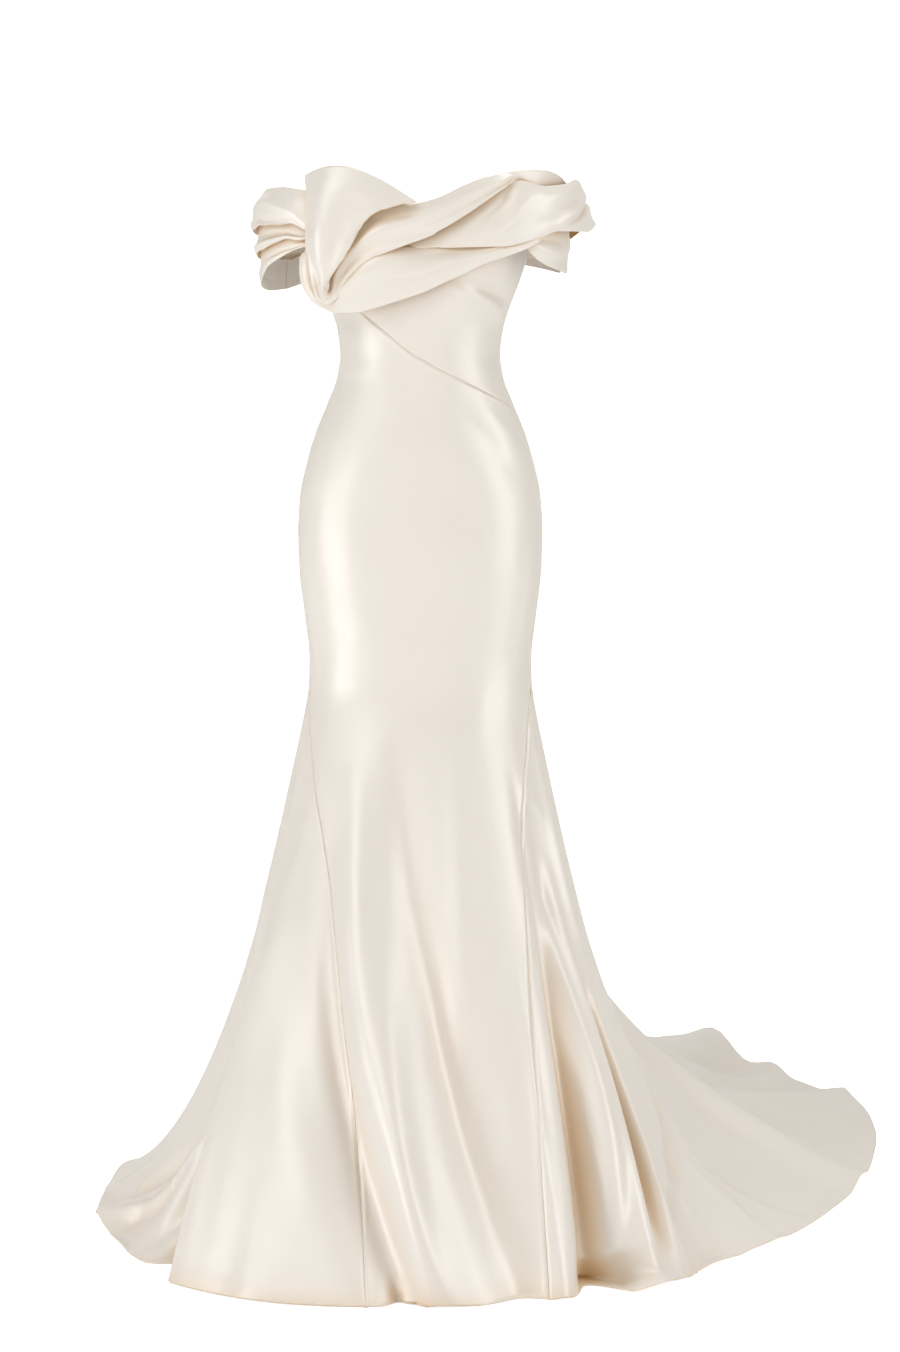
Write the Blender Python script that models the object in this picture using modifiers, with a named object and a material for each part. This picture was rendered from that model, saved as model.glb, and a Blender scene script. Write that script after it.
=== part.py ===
"""Mermaid evening dress in heavy ivory satin, kept in its worn, hollow form with no wearer.

The gown is cut as a maker cuts it: one long front panel below a diagonal bodice seam, a bodice
front above it, two side godets, two backs that run into the train, a concealed zip, and a draped
off-the-shoulder neckline of folded bands. Every piece is a thin wall of cloth on a surface that is
worked out from sizes. Lengths are metres, heights are above the floor, angles are degrees round the
body from the centre front, positive towards the wearer's left. The front faces -Y.
The origin is the centre of the waist.
"""

import bmesh
import bpy
import numpy as np
from mathutils import Matrix, Vector

# Driving dimensions
WAIST_HEIGHT = 1.19
KNEE_HEIGHT = 0.743
WALL = 0.0016
FLOOR_GAP = 0.0024
SEAM_GAP = 0.0003
ROUNDNESS = 2.2
ANGLE_STEP = 0.05
YOKE_STEP = 0.5
FAN_HEIGHT = 1.095
FAN_ROWS = 6
LEVEL_ROWS = (1.095, 1.060, 1.020, 0.975, 0.930, 0.885, 0.845, 0.815, 0.790, 0.766)
SKIRT_ROWS = 20
FRONT_COLUMNS = 16
BACK_LEFT_COLUMNS = 20
BACK_RIGHT_COLUMNS = 16
GODET_COLUMNS = 12
BODICE_ROWS = 5
IVORY = (0.80, 0.755, 0.70, 1.0)
ZIP_METAL = (0.78, 0.75, 0.70, 1.0)
SATIN_ROUGHNESS = 0.35
METAL_ROUGHNESS = 0.3

# The fitted part: height, half width, front depth, back depth
BODY_SECTIONS = (
    (0.743, 0.1515, 0.100, 0.099),
    (0.784, 0.1510, 0.101, 0.104),
    (0.846, 0.1575, 0.103, 0.116),
    (0.907, 0.1645, 0.104, 0.126),
    (0.960, 0.1662, 0.103, 0.130),
    (1.009, 0.1633, 0.101, 0.127),
    (1.050, 0.1550, 0.098, 0.119),
    (1.091, 0.1430, 0.094, 0.107),
    (1.132, 0.1265, 0.090, 0.092),
    (1.172, 0.1118, 0.088, 0.080),
    (1.200, 0.1082, 0.088, 0.077),
    (1.233, 0.1120, 0.091, 0.080),
    (1.265, 0.1215, 0.098, 0.086),
    (1.301, 0.1350, 0.107, 0.092),
    (1.345, 0.1470, 0.117, 0.093),
    (1.400, 0.1500, 0.122, 0.088),
)
CUP_RISE = 0.010
CUP_CENTRE = 0.070
CUP_HEIGHT = 1.315
CUP_SPREAD = 0.042

# Top edge of the bodice: angle, height
TOP_EDGE = ((0.0, 1.3930), (30.0, 1.402), (60.0, 1.385), (90.0, 1.356), (180.0, 1.348))
# Diagonal seam across the front: angle, height
DIAGONAL_SEAM = (
    (-90.0, 1.330), (-60.0, 1.288), (-38.8, 1.2535), (-22.2, 1.2288), (-12.0, 1.2123),
    (0.0, 1.1942), (12.2, 1.1794), (41.2, 1.1530), (74.0, 1.1300), (90.0, 1.1210),
)

# The skirt: angle, hem reach, slope at the knee, length it holds, angle at the floor, length it holds
FLARE = (
    (-166.0, 0.980, 0.30, 0.36, 3.0, 0.55),
    (-150.0, 0.740, 0.26, 0.36, 4.0, 0.36),
    (-135.0, 0.570, 0.24, 0.36, 8.0, 0.24),
    (-117.0, 0.505, 0.23, 0.38, 12.0, 0.17),
    (-104.0, 0.474, 0.22, 0.42, 15.0, 0.15),
    (-91.0, 0.450, 0.22, 0.42, 20.0, 0.15),
    (-77.0, 0.428, 0.24, 0.40, 26.0, 0.15),
    (-61.0, 0.425, 0.30, 0.36, 48.0, 0.16),
    (-47.0, 0.450, 0.35, 0.36, 66.0, 0.20),
    (-30.0, 0.448, 0.34, 0.30, 68.0, 0.20),
    (0.0, 0.425, 0.34, 0.30, 68.0, 0.20),
    (25.0, 0.428, 0.34, 0.30, 66.0, 0.20),
    (43.0, 0.455, 0.28, 0.30, 60.0, 0.18),
    (61.0, 0.455, 0.23, 0.40, 36.0, 0.14),
    (79.0, 0.504, 0.22, 0.42, 14.0, 0.20),
    (91.0, 0.555, 0.21, 0.42, 8.0, 0.26),
    (101.0, 0.615, 0.20, 0.42, 5.0, 0.32),
    (118.0, 0.765, 0.20, 0.42, 3.0, 0.46),
    (132.0, 0.945, 0.22, 0.42, 2.5, 0.60),
    (145.0, 1.090, 0.25, 0.40, 2.0, 0.70),
    (157.0, 1.200, 0.30, 0.38, 2.0, 0.76),
    (177.0, 1.180, 0.34, 0.36, 2.0, 0.74),
)

# Folds of the skirt: share of its length where it starts, angle there, angle at the hem,
# half width there, half width at the hem (degrees), rise, share of the rise kept at the hem
FOLDS = (
    (0.30, -62.0, -53.0, 8.0, 4.0, -0.065, 1.0),
    (0.05, -60.0, -1.0, 12.0, 5.0, -0.020, 1.0),
    (0.20, -42.0, -28.0, 9.0, 6.0, 0.014, 1.0),
    (0.10, -26.0, 3.0, 9.0, 4.0, 0.012, 0.8),
    (0.00, -6.0, 19.0, 14.0, 6.0, -0.022, 1.0),
    (0.00, 46.0, 25.0, 12.0, 4.0, 0.012, 1.0),
    (0.15, 52.0, 34.5, 10.0, 4.6, -0.070, 1.0),
    (0.05, 64.0, 43.0, 10.0, 5.0, 0.024, 0.6),
    (0.35, 80.0, 60.0, 8.0, 6.0, -0.014, 1.0),
    (0.30, 96.0, 72.0, 9.0, 6.0, 0.014, 0.3),
    (0.25, 112.0, 96.0, 10.0, 6.0, -0.012, 0.3),
    (0.25, 122.0, 112.0, 9.0, 6.0, 0.030, 0.1),
    (0.30, 132.0, 126.0, 9.0, 5.0, -0.016, 0.3),
    (0.25, 144.0, 136.0, 9.0, 5.5, 0.055, 0.25),
    (0.25, 156.0, 147.0, 8.0, 4.5, -0.020, 0.3),
    (0.20, 170.0, 156.0, 9.0, 5.0, 0.070, 0.5),
    (0.25, 184.0, 165.0, 9.0, 5.0, -0.020, 0.3),
    (0.25, 200.0, 176.0, 9.0, 5.5, 0.060, 0.4),
    (0.25, 214.0, 192.0, 9.0, 6.0, -0.016, 0.3),
    (0.25, 226.0, 205.0, 9.0, 6.0, 0.045, 0.3),
    (0.25, 240.0, 222.0, 9.0, 6.0, -0.012, 0.5),
    (0.25, 252.0, 238.0, 9.0, 7.0, 0.025, 0.5),
    (0.25, 266.0, 256.0, 9.0, 7.0, -0.012, 0.5),
    (0.30, 278.0, 272.0, 9.0, 7.0, 0.016, 0.5),
    (0.30, 290.0, 287.0, 8.0, 5.0, -0.014, 0.5),
)
FLOOR_BEND = 0.004
FOLD_DRIFT = 0.8
FOLD_GROWTH = 0.7

# Seams. Above the knee: height, angle of the side seam. Below it: share of the skirt, angle
SIDE_SEAM = ((0.743, 77.5), (0.790, 86.0), (0.830, 90.0))
FRONT_SEAM_RIGHT = (
    (0.0, -77.0), (0.035, -66.0), (0.13, -44.6), (0.235, -33.5), (0.36, -24.9),
    (0.49, -19.3), (0.63, -14.6), (0.795, -11.2), (1.0, -8.8),
)
FRONT_SEAM_LEFT = (
    (0.0, 77.0), (0.03, 64.6), (0.125, 47.7), (0.28, 36.2), (0.46, 29.6),
    (0.63, 26.5), (0.815, 24.3), (1.0, 23.2),
)
BACK_SEAM_RIGHT = ((0.0, -78.5), (0.30, -74.0), (1.0, -68.0))
BACK_SEAM_LEFT = ((0.0, 78.5), (0.30, 70.0), (0.635, 57.0), (0.815, 53.0), (1.0, 54.0))
CENTRE_BACK_SEAM = ((0.0, 180.0), (0.30, 177.0), (1.0, 166.0))

# The ring that the neckline bands follow, round the body and the arms: height, half width,
# front depth, back depth
YOKE_SECTIONS = (
    (1.240, 0.198, 0.108, 0.098),
    (1.290, 0.203, 0.118, 0.104),
    (1.340, 0.205, 0.127, 0.108),
    (1.450, 0.205, 0.129, 0.108),
)

# Neckline bands. Outer edge: angle, height, stand-off; inner edge: the same; crown; bow
BUST_FOLD = (
    (-43.5, 1.4340, 0.012, 0.2, 1.3965, 0.0100, 0.006, 0.027),
    (-43.0, 1.4000, 0.017, -6.8, 1.3910, 0.018, 0.010, 0.012),
    (-42.2, 1.3660, 0.020, -12.5, 1.3835, 0.023, 0.010, 0.004),
    (-41.5, 1.3400, 0.023, -17.0, 1.3695, 0.026, 0.008, 0.000),
    (-40.5, 1.3180, 0.025, -20.8, 1.3450, 0.027, 0.006, 0.000),
    (-39.3, 1.2980, 0.026, -24.6, 1.3220, 0.027, 0.004, 0.000),
    (-38.0, 1.2810, 0.026, -28.8, 1.3020, 0.025, 0.003, 0.000),
    (-36.3, 1.2680, 0.024, -31.8, 1.2880, 0.022, 0.003, 0.000),
    (-33.0, 1.2625, 0.021, -32.3, 1.2830, 0.017, 0.004, 0.000),
    (-29.5, 1.2690, 0.017, -32.6, 1.2890, 0.011, 0.004, 0.000),
    (-26.5, 1.2840, 0.014, -32.6, 1.3070, 0.007, 0.004, 0.000),
    (-22.5, 1.3030, 0.012, -29.0, 1.3330, 0.004, 0.005, 0.000),
    (-15.0, 1.3235, 0.012, -22.5, 1.3650, 0.002, 0.006, 0.000),
    (-7.0, 1.3360, 0.013, -13.0, 1.3890, -0.001, 0.008, 0.000),
    (1.0, 1.3490, 0.014, -3.5, 1.3965, -0.0052, 0.009, 0.000),
    (8.0, 1.3635, 0.015, 5.5, 1.4065, -0.0055, 0.009, 0.000),
    (17.0, 1.3850, 0.015, 14.0, 1.4210, -0.001, 0.008, 0.000),
    (24.0, 1.4030, 0.015, 22.0, 1.4315, 0.003, 0.006, 0.000),
    (29.5, 1.4160, 0.0140, 28.5, 1.4365, 0.006, 0.004, 0.000),
    (33.7, 1.4240, 0.0092, 34.0, 1.4400, 0.006, 0.001, 0.000),
    (38.0, 1.4225, 0.0045, 40.0, 1.4415, 0.004, 0.001, 0.000),
    (47.0, 1.4120, 0.003, 50.0, 1.4430, 0.003, 0.002, 0.000),
    (58.0, 1.4050, 0.001, 60.0, 1.4395, 0.002, 0.002, 0.000),
    (70.0, 1.4000, 0.000, 73.0, 1.4270, 0.001, 0.002, 0.000),
)
MIDDLE_BAND = (
    (-9.0, 1.336, -0.0073, -6.0, 1.352, -0.0078, 0.000, 0.000),
    (4.0, 1.338, 0.000, 4.0, 1.372, -0.004, 0.001, 0.000),
    (16.0, 1.338, 0.005, 16.0, 1.398, -0.001, 0.003, 0.000),
    (29.0, 1.338, 0.008, 28.0, 1.417, 0.002, 0.006, 0.000),
    (39.0, 1.3435, 0.010, 37.0, 1.4245, 0.010, 0.008, 0.000),
    (48.0, 1.3525, 0.012, 48.0, 1.4225, 0.013, 0.009, 0.000),
    (56.0, 1.360, 0.014, 60.0, 1.426, 0.015, 0.009, 0.000),
    (66.0, 1.361, 0.020, 72.0, 1.434, 0.014, 0.006, 0.000),
    (76.0, 1.362, 0.029, 82.0, 1.431, 0.0125, 0.002, 0.000),
    (88.0, 1.374, 0.034, 92.0, 1.419, 0.011, 0.000, 0.000),
    (100.0, 1.370, 0.024, 102.0, 1.406, 0.010, 0.002, 0.000),
    (115.6, 1.352, 0.016, 115.6, 1.398, 0.008, 0.004, 0.000),
)
LOWER_BAND = (
    (-45.0, 1.337, 0.002, -40.0, 1.346, 0.002, 0.001, 0.000),
    (-47.5, 1.326, 0.008, -40.0, 1.330, 0.006, 0.003, 0.000),
    (-47.0, 1.303, 0.012, -38.5, 1.310, 0.007, 0.004, 0.000),
    (-44.5, 1.281, 0.014, -37.0, 1.293, 0.007, 0.004, 0.000),
    (-41.0, 1.268, 0.014, -35.0, 1.283, 0.007, 0.004, 0.000),
    (-36.5, 1.2585, 0.013, -32.5, 1.280, 0.006, 0.004, 0.000),
    (-30.0, 1.2525, 0.011, -28.5, 1.285, 0.004, 0.004, 0.000),
    (-23.0, 1.2525, 0.009, -23.0, 1.295, 0.002, 0.005, 0.000),
    (-16.0, 1.2565, 0.007, -16.0, 1.312, 0.000, 0.006, 0.000),
    (-9.0, 1.264, 0.005, -9.0, 1.325, -0.002, 0.007, 0.000),
    (-1.0, 1.275, 0.003, -1.0, 1.332, -0.004, 0.007, 0.000),
    (7.0, 1.2905, 0.002, 7.0, 1.340, -0.005, 0.006, 0.000),
    (15.0, 1.304, 0.001, 15.0, 1.344, -0.005, 0.005, 0.000),
    (23.0, 1.317, 0.001, 23.0, 1.346, -0.001, 0.004, 0.000),
    (31.0, 1.326, 0.002, 31.0, 1.348, 0.002, 0.003, 0.000),
    (40.0, 1.336, 0.005, 40.0, 1.351, 0.006, 0.001, 0.000),
    (47.0, 1.346, 0.008, 47.0, 1.356, 0.0092, 0.001, 0.000),
)
SLEEVE_LEFT = (
    (41.0, 1.342, -0.001, 43.0, 1.354, -0.002, 0.001, 0.000),
    (46.0, 1.327, 0.001, 48.0, 1.366, -0.002, 0.003, 0.000),
    (56.0, 1.315, 0.001, 56.0, 1.376, -0.002, 0.004, 0.000),
    (66.0, 1.310, 0.000, 66.0, 1.382, -0.002, 0.003, 0.000),
    (76.0, 1.307, -0.002, 76.0, 1.388, -0.002, 0.001, 0.000),
    (90.0, 1.312, -0.005, 90.0, 1.390, -0.003, 0.000, 0.000),
    (103.0, 1.314, -0.001, 103.0, 1.388, 0.002, 0.001, 0.000),
    (115.4, 1.312, 0.006, 115.4, 1.384, 0.011, 0.001, 0.000),
)

# Pleated bands. Angle, top, edge of the first pleat, edge of the second, bottom, stand-off at the top
SLEEVE_RIGHT = (
    (-120.0, 1.398, 1.356, 1.324, 1.290, 0.006),
    (-105.0, 1.401, 1.360, 1.327, 1.287, 0.006),
    (-90.0, 1.407, 1.364, 1.331, 1.291, 0.0085),
    (-78.0, 1.414, 1.367, 1.335, 1.300, 0.011),
    (-67.0, 1.420, 1.370, 1.341, 1.317, 0.012),
    (-57.0, 1.4205, 1.3705, 1.348, 1.328, 0.010),
    (-49.0, 1.4175, 1.369, 1.351, 1.337, 0.008),
    (-40.5, 1.413, 1.361, 1.351, 1.343, 0.0040),
)
BACK_DRAPE_RIGHT = (
    (-174.0, 1.392, 1.366, 1.349, 1.334, -0.0155),
    (-158.0, 1.394, 1.362, 1.341, 1.320, -0.005),
    (-140.0, 1.396, 1.358, 1.332, 1.305, 0.001),
    (-120.25, 1.398, 1.356, 1.324, 1.290, 0.006),
)
BACK_DRAPE_LEFT = (
    (115.74, 1.398, 1.362, 1.335, 1.311, 0.004),
    (140.0, 1.396, 1.364, 1.342, 1.324, 0.001),
    (158.0, 1.394, 1.366, 1.348, 1.332, -0.005),
    (174.0, 1.392, 1.368, 1.350, 1.334, -0.0155),
)
# Across a pleated band: which two of its four lines, share between them, rise, stand-off
PLEAT_PROFILE = (
    (0, 0.00, 0.000, 0.000),
    (0, 0.35, 0.000, 0.008),
    (0, 0.80, 0.000, 0.013),
    (0, 1.00, 0.000, 0.011),
    (0, 1.00, 0.006, 0.004),
    (1, 0.30, 0.000, 0.005),
    (1, 0.75, 0.000, 0.009),
    (1, 1.00, 0.000, 0.007),
    (1, 1.00, 0.005, 0.001),
    (2, 0.35, 0.000, 0.002),
    (2, 0.75, 0.000, 0.004),
    (2, 1.00, 0.000, 0.003),
)

# Zip at the centre back
ZIP_TOP = 1.340
ZIP_FOOT = 0.985
TAPE_HALF_WIDTH = 0.0104
TAPE_WALL = 0.0010
SLIDER_HEIGHT = 1.327
SLIDER_SIZE = (0.0060, 0.0022, 0.0100)
EAR_SIZE = (0.0010, 0.0038, 0.0040)
EAR_APART = 0.0040
EAR_SUNK = 0.0008
EAR_RISE = 0.0026
PIN_RADIUS = 0.0006
EYE_RADIUS = 0.0016
EYE_BORE = 0.0010
PULL_SIZE = (0.0034, 0.0012, 0.0220)
PULL_WAIST = 0.45
ROUND_SIDES = 16


def through(stations, values, at):
    """Monotone cubic curve through the values at rising stations, level past both ends."""
    stations, values = np.asarray(stations, float), np.asarray(values, float)
    step = np.diff(stations)
    rise = np.diff(values) / step
    slope = np.zeros(len(stations))
    product, total = rise[:-1] * rise[1:], rise[:-1] + rise[1:]
    slope[1:-1] = np.divide(2 * product, total, out=np.zeros(len(product)), where=product > 0)
    slope[0], slope[-1] = rise[0], rise[-1]
    k = np.clip(np.searchsorted(stations, at, side="right") - 1, 0, len(step) - 1)
    t = np.clip((at - stations[k]) / step[k], 0.0, 1.0)
    level = values[k] * (1 + 2 * t) * (1 - t) ** 2 + values[k + 1] * t * t * (3 - 2 * t)
    return level + step[k] * t * (1 - t) * (slope[k] * (1 - t) - slope[k + 1] * t)


def along(table, at, column=1):
    """The curve through one column of a table, against its first column."""
    rows = np.array(table)
    return through(rows[:, 0], rows[:, column], at)


def all_round(table, angle, column):
    """The same curve for a table of angles that closes on itself."""
    rows = np.array(table)
    turn = np.zeros(rows.shape[1])
    turn[0] = 360.0
    rows = np.concatenate([rows[-2:] - turn, rows, rows[:2] + turn])
    turned = (np.asarray(angle) - table[0][0]) % 360.0 + table[0][0]
    return through(rows[:, 0], rows[:, column], turned)


def ring_point(sections, angle, height):
    """Point of a rounded ellipse whose half width and two depths follow the height."""
    wide, front, back = (along(sections, height, column) for column in (1, 2, 3))
    turn = np.radians(angle)
    side, face = np.sin(turn), np.cos(turn)
    x = wide * np.sign(side) * np.abs(side) ** (2 / ROUNDNESS)
    y = -np.where(face > 0, front, back) * np.sign(face) * np.abs(face) ** (2 / ROUNDNESS)
    return np.stack([x, y, height + 0 * x], -1)


def body_point(angle, height):
    """Point of the fitted part, with two soft cups in front."""
    point = ring_point(BODY_SECTIONS, angle, height)
    off_x = (np.abs(point[..., 0]) - CUP_CENTRE) / CUP_SPREAD
    off_z = (point[..., 2] - CUP_HEIGHT) / CUP_SPREAD
    facing = np.clip(np.cos(np.radians(angle)), 0, 1)
    point[..., 1] -= CUP_RISE * facing * np.exp(-off_x ** 2 - off_z ** 2)
    return point


def fold_height(angle, down):
    """All folds together: each is a bell across the skirt, growing from where it starts."""
    total = np.zeros(np.shape(angle))
    for start, top, end, wide_top, wide_end, rise, kept in FOLDS:
        share = np.clip((down - start) / (1 - start), 0, 1)
        centre = top + (end - top) * share ** FOLD_DRIFT
        wide = wide_top + (wide_end - wide_top) * share
        off = (angle - centre + 180.0) % 360.0 - 180.0
        size = rise * share ** FOLD_GROWTH * (1 - (1 - kept) * share ** 4)
        total = total + size * np.exp(-(off / wide) ** 2)
    return total


def skirt_point(angle, down):
    """Point of the flared part. Each angle has its own profile from the knee ring to the hem, a
    cubic whose slope is held at both ends, and the folds stand off it along its outward side."""
    angle, down = np.broadcast_arrays(np.asarray(angle, float), np.asarray(down, float))
    reach, slope, hold, floor_angle, floor_hold = (all_round(FLARE, angle, k) for k in range(1, 6))
    knee = body_point(angle, np.full(angle.shape, KNEE_HEIGHT))
    turn = np.radians(angle)
    hem = np.stack([reach * np.sin(turn), -reach * np.cos(turn)], -1)
    run = np.linalg.norm(hem - knee[..., :2], axis=-1)
    way = (hem - knee[..., :2]) / run[..., None]
    lean = np.radians(floor_angle)
    outs = [0 * run, slope * hold, run - np.cos(lean) * floor_hold, run]
    ups = [KNEE_HEIGHT + 0 * run, KNEE_HEIGHT - hold, FLOOR_GAP + np.sin(lean) * floor_hold,
           FLOOR_GAP + 0 * run]
    weights = [(1 - down) ** 3, 3 * down * (1 - down) ** 2, 3 * down ** 2 * (1 - down), down ** 3]
    rates = [3 * (1 - down) ** 2, 6 * down * (1 - down), 3 * down ** 2]
    out = sum(w * p for w, p in zip(weights, outs))
    up = sum(w * p for w, p in zip(weights, ups))
    out_rate = sum(w * (outs[k + 1] - outs[k]) for k, w in enumerate(rates))
    up_rate = sum(w * (ups[k + 1] - ups[k]) for k, w in enumerate(rates))
    size = np.hypot(out_rate, up_rate)
    lift = fold_height(angle, down)
    out = out - up_rate / size * lift
    up = up + out_rate / size * lift
    above = up - FLOOR_GAP
    up = FLOOR_GAP + 0.5 * (above + np.sqrt(above ** 2 + FLOOR_BEND ** 2)) - 0.5 * FLOOR_BEND * np.exp(
        -np.abs(above) / FLOOR_BEND
    )
    plan = knee[..., :2] + way * out[..., None]
    return np.concatenate([plan, up[..., None]], -1)


def yoke_point(angle, height, stand):
    """Point on the neckline's ring, moved out level by the stand-off."""
    point = ring_point(YOKE_SECTIONS, angle, height)
    ahead = ring_point(YOKE_SECTIONS, angle + YOKE_STEP, height)
    behind = ring_point(YOKE_SECTIONS, angle - YOKE_STEP, height)
    tangent = ahead - behind
    outward = np.stack([tangent[..., 1], -tangent[..., 0], 0 * tangent[..., 0]], -1)
    outward = outward / np.linalg.norm(outward, axis=-1)[..., None]
    return point + outward * np.asarray(stand)[..., None]


def band_points(table, per_row, across):
    """Grid of a neckline band: along its rows, and from its outer edge to its inner edge."""
    rows = np.array(table)
    count = (len(rows) - 1) * per_row + 1
    station = np.linspace(0, len(rows) - 1, count)
    columns = [through(np.arange(len(rows)), rows[:, k], station) for k in range(rows.shape[1])]
    a_angle, a_height, a_stand, b_angle, b_height, b_stand, crown, bow = (c[:, None] for c in columns)
    t = np.linspace(0, 1, across + 1)[None, :]
    hump = np.sin(np.pi * t)
    angle = a_angle + (b_angle - a_angle) * t
    height = a_height + (b_height - a_height) * t + bow * hump
    stand = a_stand + (b_stand - a_stand) * t + crown * hump
    return yoke_point(angle, height, stand)


def pleated_points(table, count):
    """Grid of a pleated band: along its angles, and down across three overlapping pleats."""
    rows = np.array(table)
    angle = np.linspace(rows[0, 0], rows[-1, 0], count)[:, None]
    lines = [along(rows, angle, column) for column in (1, 2, 3, 4)]
    base = along(rows, angle, 5)
    heights, stands = [], []
    for line, share, rise, stand in PLEAT_PROFILE:
        upper, lower = lines[line], lines[line + 1]
        heights.append(upper + (lower - upper) * share + rise)
        stands.append(base + stand)
    height, stand = np.concatenate(heights, 1), np.concatenate(stands, 1)
    return yoke_point(angle + 0 * height, height, stand)


def between_seams(surface, first, last, columns, stations):
    """Grid on a surface from one seam to the other, a column for each share of the way and a row
    for each station down. Both edges are drawn in by SEAM_GAP along the surface."""
    stations = np.asarray(stations, float)
    edges = []
    for line, inward in ((first, 1), (last, -1)):
        angle = line(stations)
        ahead, behind = surface(angle + ANGLE_STEP, stations), surface(angle - ANGLE_STEP, stations)
        stride = np.linalg.norm(ahead - behind, axis=-1)
        edges.append(angle + inward * SEAM_GAP * 2 * ANGLE_STEP / stride)
    share = np.linspace(0, 1, columns + 1)[:, None]
    angle = edges[0] + (edges[1] - edges[0]) * share
    return surface(angle, stations + 0 * share)


def panel_points(columns, crest, above, below):
    """Grid of a long panel: a fan of rows from its top line to FAN_HEIGHT, level rows to the knee,
    and rows of equal share of the skirt to the hem."""

    def fan(angle, fall):
        top = crest(angle)
        return body_point(angle, top + (FAN_HEIGHT - top) * fall)

    falls = np.linspace(0, 1, FAN_ROWS, endpoint=False)
    level = [lambda station, edge=edge: edge(FAN_HEIGHT + 0 * station) for edge in above]
    return np.concatenate([
        between_seams(fan, *level, columns, falls),
        between_seams(body_point, *above, columns, LEVEL_ROWS),
        between_seams(skirt_point, *below, columns, np.linspace(0, 1, SKIRT_ROWS + 1)),
    ], 1)


def satin(name, colour, roughness, metallic=0.0):
    """A plain material with the piece's own colour."""
    material = bpy.data.materials.new(name)
    material.use_nodes = True
    shader = material.node_tree.nodes["Principled BSDF"]
    shader.inputs["Base Color"].default_value = colour
    shader.inputs["Roughness"].default_value = roughness
    shader.inputs["Metallic"].default_value = metallic
    material.diffuse_color = colour
    return material


def cloth(name, grid, collection, root, wall=WALL, down_first=False):
    """A wall of cloth on a grid of points. The points are its outer face; the wall goes inwards."""
    rows, columns = grid.shape[:2]
    index = np.arange(rows * columns).reshape(rows, columns)
    here, along_next = index[:-1, :-1], index[1:, :-1]
    across_next, both_next = index[:-1, 1:], index[1:, 1:]
    order = (here, across_next, both_next, along_next) if down_first else (
        here, along_next, both_next, across_next
    )
    faces = np.stack(order, -1).reshape(-1, 4)
    mesh = bpy.data.meshes.new(name)
    mesh.from_pydata(grid.reshape(-1, 3).tolist(), [], faces.tolist())
    mesh.shade_smooth()
    piece = bpy.data.objects.new(name, mesh)
    piece.data.materials.append(satin(name, IVORY, SATIN_ROUGHNESS))
    solidify = piece.modifiers.new("wall", "SOLIDIFY")
    solidify.thickness = wall
    solidify.offset = -1.0
    collection.objects.link(piece)
    piece.parent = root
    return piece


def moved_in(grid, distance):
    """The grid's points moved against its outward normals."""
    down, across = np.gradient(grid, axis=1), np.gradient(grid, axis=0)
    normal = np.cross(down, across)
    return grid - distance * normal / np.linalg.norm(normal, axis=-1)[..., None]


def solid(name, bm, collection, colour, roughness, metallic, location, root):
    """An object from a finished bmesh, at its place under the root."""
    mesh = bpy.data.meshes.new(name)
    bm.to_mesh(mesh)
    bm.free()
    piece = bpy.data.objects.new(name, mesh)
    piece.data.materials.append(satin(name, colour, roughness, metallic))
    piece.location = location
    collection.objects.link(piece)
    piece.parent = root
    return piece


def block(bm, size, centre):
    """A box in the bmesh."""
    place = Matrix.Translation(centre) @ Matrix.Diagonal((*size, 1.0))
    return bmesh.ops.create_cube(bm, size=1.0, matrix=place)["verts"]


def rod(bm, radius, length, centre):
    """A round bar along X in the bmesh."""
    place = Matrix.Translation(centre) @ Matrix.Rotation(np.pi / 2, 4, "Y")
    bmesh.ops.create_cone(
        bm, cap_ends=True, segments=ROUND_SIDES, radius1=radius, radius2=radius,
        depth=length, matrix=place,
    )


def combine(piece, helper, operation):
    """A Boolean of the piece with a helper, which isn't rendered."""
    helper.hide_render = True
    boolean = piece.modifiers.new(helper.name, "BOOLEAN")
    boolean.operation = operation
    boolean.object = helper
    boolean.solver = "EXACT"


def seam(table, side=1, turn=0.0):
    """A seam as a function of the station down, mirrored by side and counted on by whole turns."""
    return lambda station: turn + side * along(table, station)


def diagonal(angle):
    """Height of the diagonal bodice seam."""
    return along(DIAGONAL_SEAM, angle)


def top_edge(angle):
    """Height of the bodice's top edge, the same on both sides."""
    return along(TOP_EDGE, np.abs((np.asarray(angle) + 180.0) % 360.0 - 180.0))


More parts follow.
